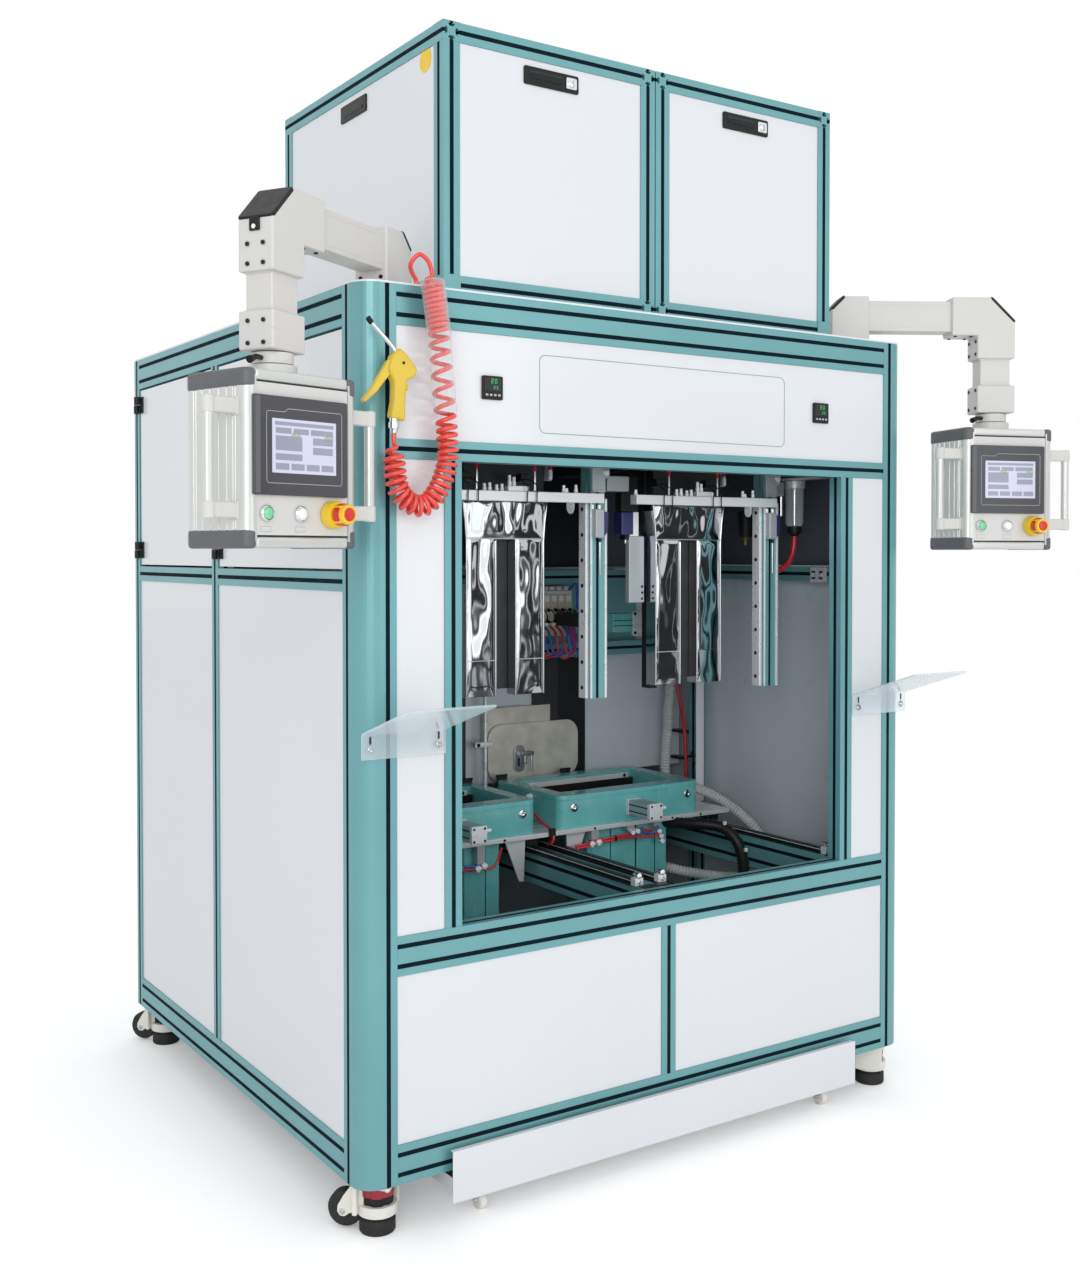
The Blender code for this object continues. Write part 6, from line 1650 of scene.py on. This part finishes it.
def right_hand_pieces():
    """Cylinders, connectors, filters and small brackets in the middle and right of the bay."""
    side = Shape("bay_fittings", "machine")
    side.boxes(DULL_ALU, (0.11, 0.295, 1.143, 0.158, 0.312, 1.3095, 0.0025, 3))
    side.use(BLACK)
    for x, z in ((0.15, 1.153), (0.151, 1.168), (0.15, 1.183)):
        side.screw((x, 0.2948, z), (0, -1, 0), 0.0034, 0.0006)
    side.box((0.176, 0.298, 0.926), (0.202, 0.33, 1.188), 0.002)
    side.boxes(
        NAVY, (0.176, 0.298, 1.188, 0.202, 0.33, 1.38, 0.002),
        (0.087, 0.295, 1.312, 0.124, 0.33, 1.3695, 0.003, 3))
    side.use(WHITE_LENS)
    side.prism([(0.124, 1.3695), (0.141, 1.3695), (0.141, 1.309), (0.113, 1.309), (0.118, 1.325),
                (0.124, 1.332)], 0.034, on_front(0.0, 0.33, 0.0), 0.002, 2)
    side.boxes(
        BLACK, (0.098, 0.296, 1.3, 0.112, 0.32, 1.3125, 0.002),
        (0.087, 0.296, 1.369, 0.141, 0.325, 1.46, 0.004))
    side.use(STEEL)
    side.rod((0.105, 0.305, 1.29), (0.105, 0.305, 1.301), 0.004, 0.001, 12)
    side.boxes(ENAMEL, (0.215, 0.502, 1.056, 0.286, 0.542, 1.106, 0.002))
    # Painted shade in the grooves of the enamel block.
    side.use(SLOT_SHADE)
    for z in (1.072, 1.086):
        side.box((0.216, 0.5012, z), (0.285, 0.5022, z + 0.0022), 0.0)
    side.use(ALU).prism(rounded_outline(0.28, 0.334, 1.044, 1.112, 0.008, 4), 0.008,
                        on_front(0.0, 0.508, 0.0), 0.0012, 2)
    side.use(BLACK)
    for x in (0.287, 0.326):
        for z in (1.053, 1.104):
            side.screw((x, 0.4998, z), (0, -1, 0), 0.0044, 0.0004)
    side.boxes(DARK, (0.225, 0.542, 1.062, 0.275, 0.809, 1.1, 0.002))
    side.boxes(
        DULL_ALU, (-0.006, 0.23, 1.416, 0.061, 0.27, 1.453, 0.003, 3),
        (0.542, 0.23, 1.416, 0.572, 0.27, 1.453, 0.003, 3))
    # filter on a bracket behind the right opening post
    side.boxes(
        ALU, (0.586, 0.0405, 1.46, 0.65, 0.28, 1.464, 0.001),
        (0.586, 0.0405, 1.44, 0.59, 0.07, 1.464, 0.001))
    filter_axis = at(0.628, 0.25, 0.0)
    side.lathe([(0.0, 1.438), (0.027, 1.438), (0.028, 1.442), (0.028, 1.458), (0.0, 1.46)], filter_axis, 28)
    side.use(BOWL).lathe([(0.0, 1.337), (0.02, 1.338), (0.024, 1.346), (0.025, 1.438)], filter_axis, 28)
    side.use(CHROME).rod((0.628, 0.25, 1.34), (0.628, 0.25, 1.44), 0.009, 0.001, 20)
    side.use(BLACK).lathe([(0.0, 1.311), (0.01, 1.3115), (0.015, 1.318), (0.02, 1.324), (0.02, 1.339),
                           (0.0, 1.34)], filter_axis, 24)
    side.use(TUBE_RED)
    red = [(0.628, 0.25, 1.312), (0.627, 0.25, 1.29), (0.618, 0.25, 1.258), (0.598, 0.252, 1.232),
           (0.56, 0.26, 1.215), (0.505, 0.265, 1.208), (0.486, 0.25, 1.205), (0.484, 0.231, 1.205)]
    side.tube(smooth_path(red, 6), 0.007, 12)
    side.use(CHROME)
    side.rod((0.579, 0.25, 1.364), (0.579, 0.25, 1.462), 0.005, 0.001, 14)
    side.lathe([(0.0, 0.0), (0.008, 0.0), (0.008, 0.009), (0.0, 0.01)], at(0.579, 0.25, 1.44), 18)
    # hanging filter on the right wall
    side.boxes(DARK, (0.66, 0.488, 1.37, WALL_FACE, 0.512, 1.385, 0.002))
    side.lathe([(0.0, 1.31), (0.017, 1.311), (0.02, 1.32), (0.02, 1.37), (0.0, 1.371)],
               at(0.68, 0.5, 0.0), 22)
    side.use(BRASS)
    side.lathe([(0.0, 1.288), (0.008, 1.289), (0.008, 1.306), (0.014, 1.311), (0.0, 1.312)],
               at(0.68, 0.5, 0.0), 18)
    # slotted steel connector on the right wall rail
    side.boxes(ALU, (0.731, 0.235, 1.187, WALL_FACE, 0.295, 1.228, 0.001))
    # Painted shade in the slots of the connector.
    side.use(SLOT_SHADE)
    for y in (0.248, 0.275):
        for z in (1.196, 1.213):
            side.box((0.7304, y, z), (0.7312, y + 0.014, z + 0.005), 0.0)
    side.use(CHROME).screw((0.731, 0.256, 1.207), (-1, 0, 0), 0.0045, 0.002)
    side.make()


def feed_heads():
    """Black feed heads above both spouts, with funnels, tubes and small cylinders."""
    heads = Shape("feed_heads", "machine")
    for x in (-0.274, 0.274):
        heads.boxes(
            DARK, (x - 0.16, 0.33, 1.47, x + 0.185, 0.64, BAY_TOP, 0.006),
            (x - 0.11, 0.301, 1.32, x + 0.11, 0.34, BAY_TOP, 0.003))
        heads.use(BLACK)
        for dx in (-0.12, 0.02, 0.13):
            heads.box((x + dx - 0.024, 0.326, 1.432), (x + dx + 0.024, 0.4, 1.476), 0.004)
        heads.boxes(
            None, (x + 0.125, 0.38, 1.26, x + 0.17, 0.46, 1.47, 0.006),
            (x + 0.112, 0.39, 1.25, x + 0.127, 0.43, 1.43, 0.004))
        heads.use(TUBE_GREY)
        for dx, turn in ((-0.04, 1), (0.11, -1)):
            sheet = [(x + dx, 1.486), (x + dx + turn * 0.058, 1.486), (x + dx + turn * 0.026, 1.443),
                     (x + dx + turn * 0.01, 1.443)]
            heads.prism(sheet if turn > 0 else sheet[::-1], 0.002, on_front(0.0, 0.324, 0.0), 0.0)
        heads.use(STEEL)
        for dx in (-0.1, -0.072, 0.045):
            heads.tube([(x + dx, 0.3, 1.43), (x + dx + 0.014, 0.3, 1.464), (x + dx + 0.03, 0.3, 1.43)],
                       0.0022, 8)
        heads.use(LAVENDER).lathe([(0.0, 1.44), (0.01, 1.44), (0.011, 1.444), (0.011, 1.462),
                                   (0.008, 1.466), (0.008, 1.49), (0.0, 1.4905)],
                                  at(x + 0.156 - 0.004, 0.315, 0.0), 20)
        heads.use(TUBE_RED)
        for dx in (0.018, 0.15):
            heads.tube([(x + dx, 0.3, 1.464), (x + dx + 0.001, 0.3, 1.51), (x + dx - 0.004, 0.31, 1.6),
                        (x + dx - 0.004, 0.33, 1.63)], 0.0042, 10)
        heads.use(WHITE_LENS)
        for dx in (0.018, 0.15):
            heads.lathe([(0.0, 1.442), (0.005, 1.442), (0.006, 1.446), (0.006, 1.46), (0.0045, 1.466),
                         (0.0, 1.4662)], at(x + dx, 0.3, 0.0), 14)
    heads.make()


def carriage_extras():
    """Hoses that go along with the moulds, and clips on their back edges."""
    extra = Shape("carriage_hoses", "carriage").use(TUBE_GREY)
    right = [(0.506, 0.62, 0.595), (0.55, 0.62, 0.596), (0.6, 0.62, 0.588), (0.64, 0.6, 0.57),
             (0.665, 0.55, 0.543), (0.685, 0.49, 0.505), (0.692, 0.44, 0.46), (0.685, 0.42, 0.405),
             (0.645, 0.43, 0.372), (0.58, 0.46, 0.365), (0.5, 0.53, 0.375), (0.44, 0.59, 0.39),
             (0.405, 0.61, 0.4)]
    extra.tube(*ribbed(right, 0.0155), 16)
    extra.use(STEEL)
    extra.rod((0.504, 0.62, 0.595), (0.532, 0.62, 0.596), 0.015, 0.002, 20)
    extra.rod((0.52, 0.62, 0.595), (0.526, 0.62, 0.596), 0.0185, 0.002, 6)
    extra.use(BLACK).rod((0.54, 0.62, 0.596), (0.548, 0.62, 0.5962), 0.016, 0.002, 20)
    chain = [(0.4, 0.57, 0.53), (0.406, 0.5, 0.53), (0.44, 0.435, 0.533), (0.485, 0.38, 0.528),
             (0.503, 0.34, 0.5), (0.515, 0.325, 0.45), (0.515, 0.325, 0.39), (0.495, 0.35, 0.345),
             (0.45, 0.41, 0.33), (0.42, 0.47, 0.345), (0.39, 0.515, 0.36)]
    extra.tube(*ribbed(chain, 0.016, 0.012, 0.0025), 12)
    extra.use(WHITE_LENS)
    for x, y, z in ((0.488, 0.366, 0.54), (0.515, 0.312, 0.475)):
        extra.box((x - 0.004, y - 0.004, z - 0.005), (x + 0.004, y + 0.004, z + 0.005), 0.001)
    extra.use(BLACK)
    for x, y in ((0.056, 0.806), (0.27, 0.806), (-0.27, 0.806), (-0.056, 0.806)):
        extra.box((x - 0.015, y - 0.006, 0.63), (x + 0.015, y + 0.004, 0.647), 0.002)
        extra.rod((x - 0.018, y, 0.648), (x + 0.018, y, 0.648), 0.0036, 0.0008, 12)
    extra.use(WHITE_LENS).lathe([(0.0075, 0.0), (0.0075, 0.008), (0.005, 0.009), (0.005, 0.016),
                                 (0.0, 0.0165)], frame_of((0.035, 0.625, 0.62), (0, 1, 0), (0, 0, 1),
                                                          (-1, 0, 0)), 16)
    extra.use(TUBE_RED)
    tube = [(0.02, 0.625, 0.62), (0.011, 0.62, 0.613), (0.007, 0.59, 0.598), (0.006, 0.54, 0.572),
            (0.005, 0.498, 0.56), (0.004, 0.476, 0.548), (0.002, 0.474, 0.528), (0.002, 0.495, 0.518)]
    extra.tube(smooth_path(tube, 6), 0.004, 10)
    extra.boxes(BLACK, (-0.006, 0.47, 0.535, 0.01, 0.482, 0.562, 0.002))
    extra.make()


back_of_bay()
plate_and_columns()
valves()
right_hand_pieces()
feed_heads()
carriage_extras()
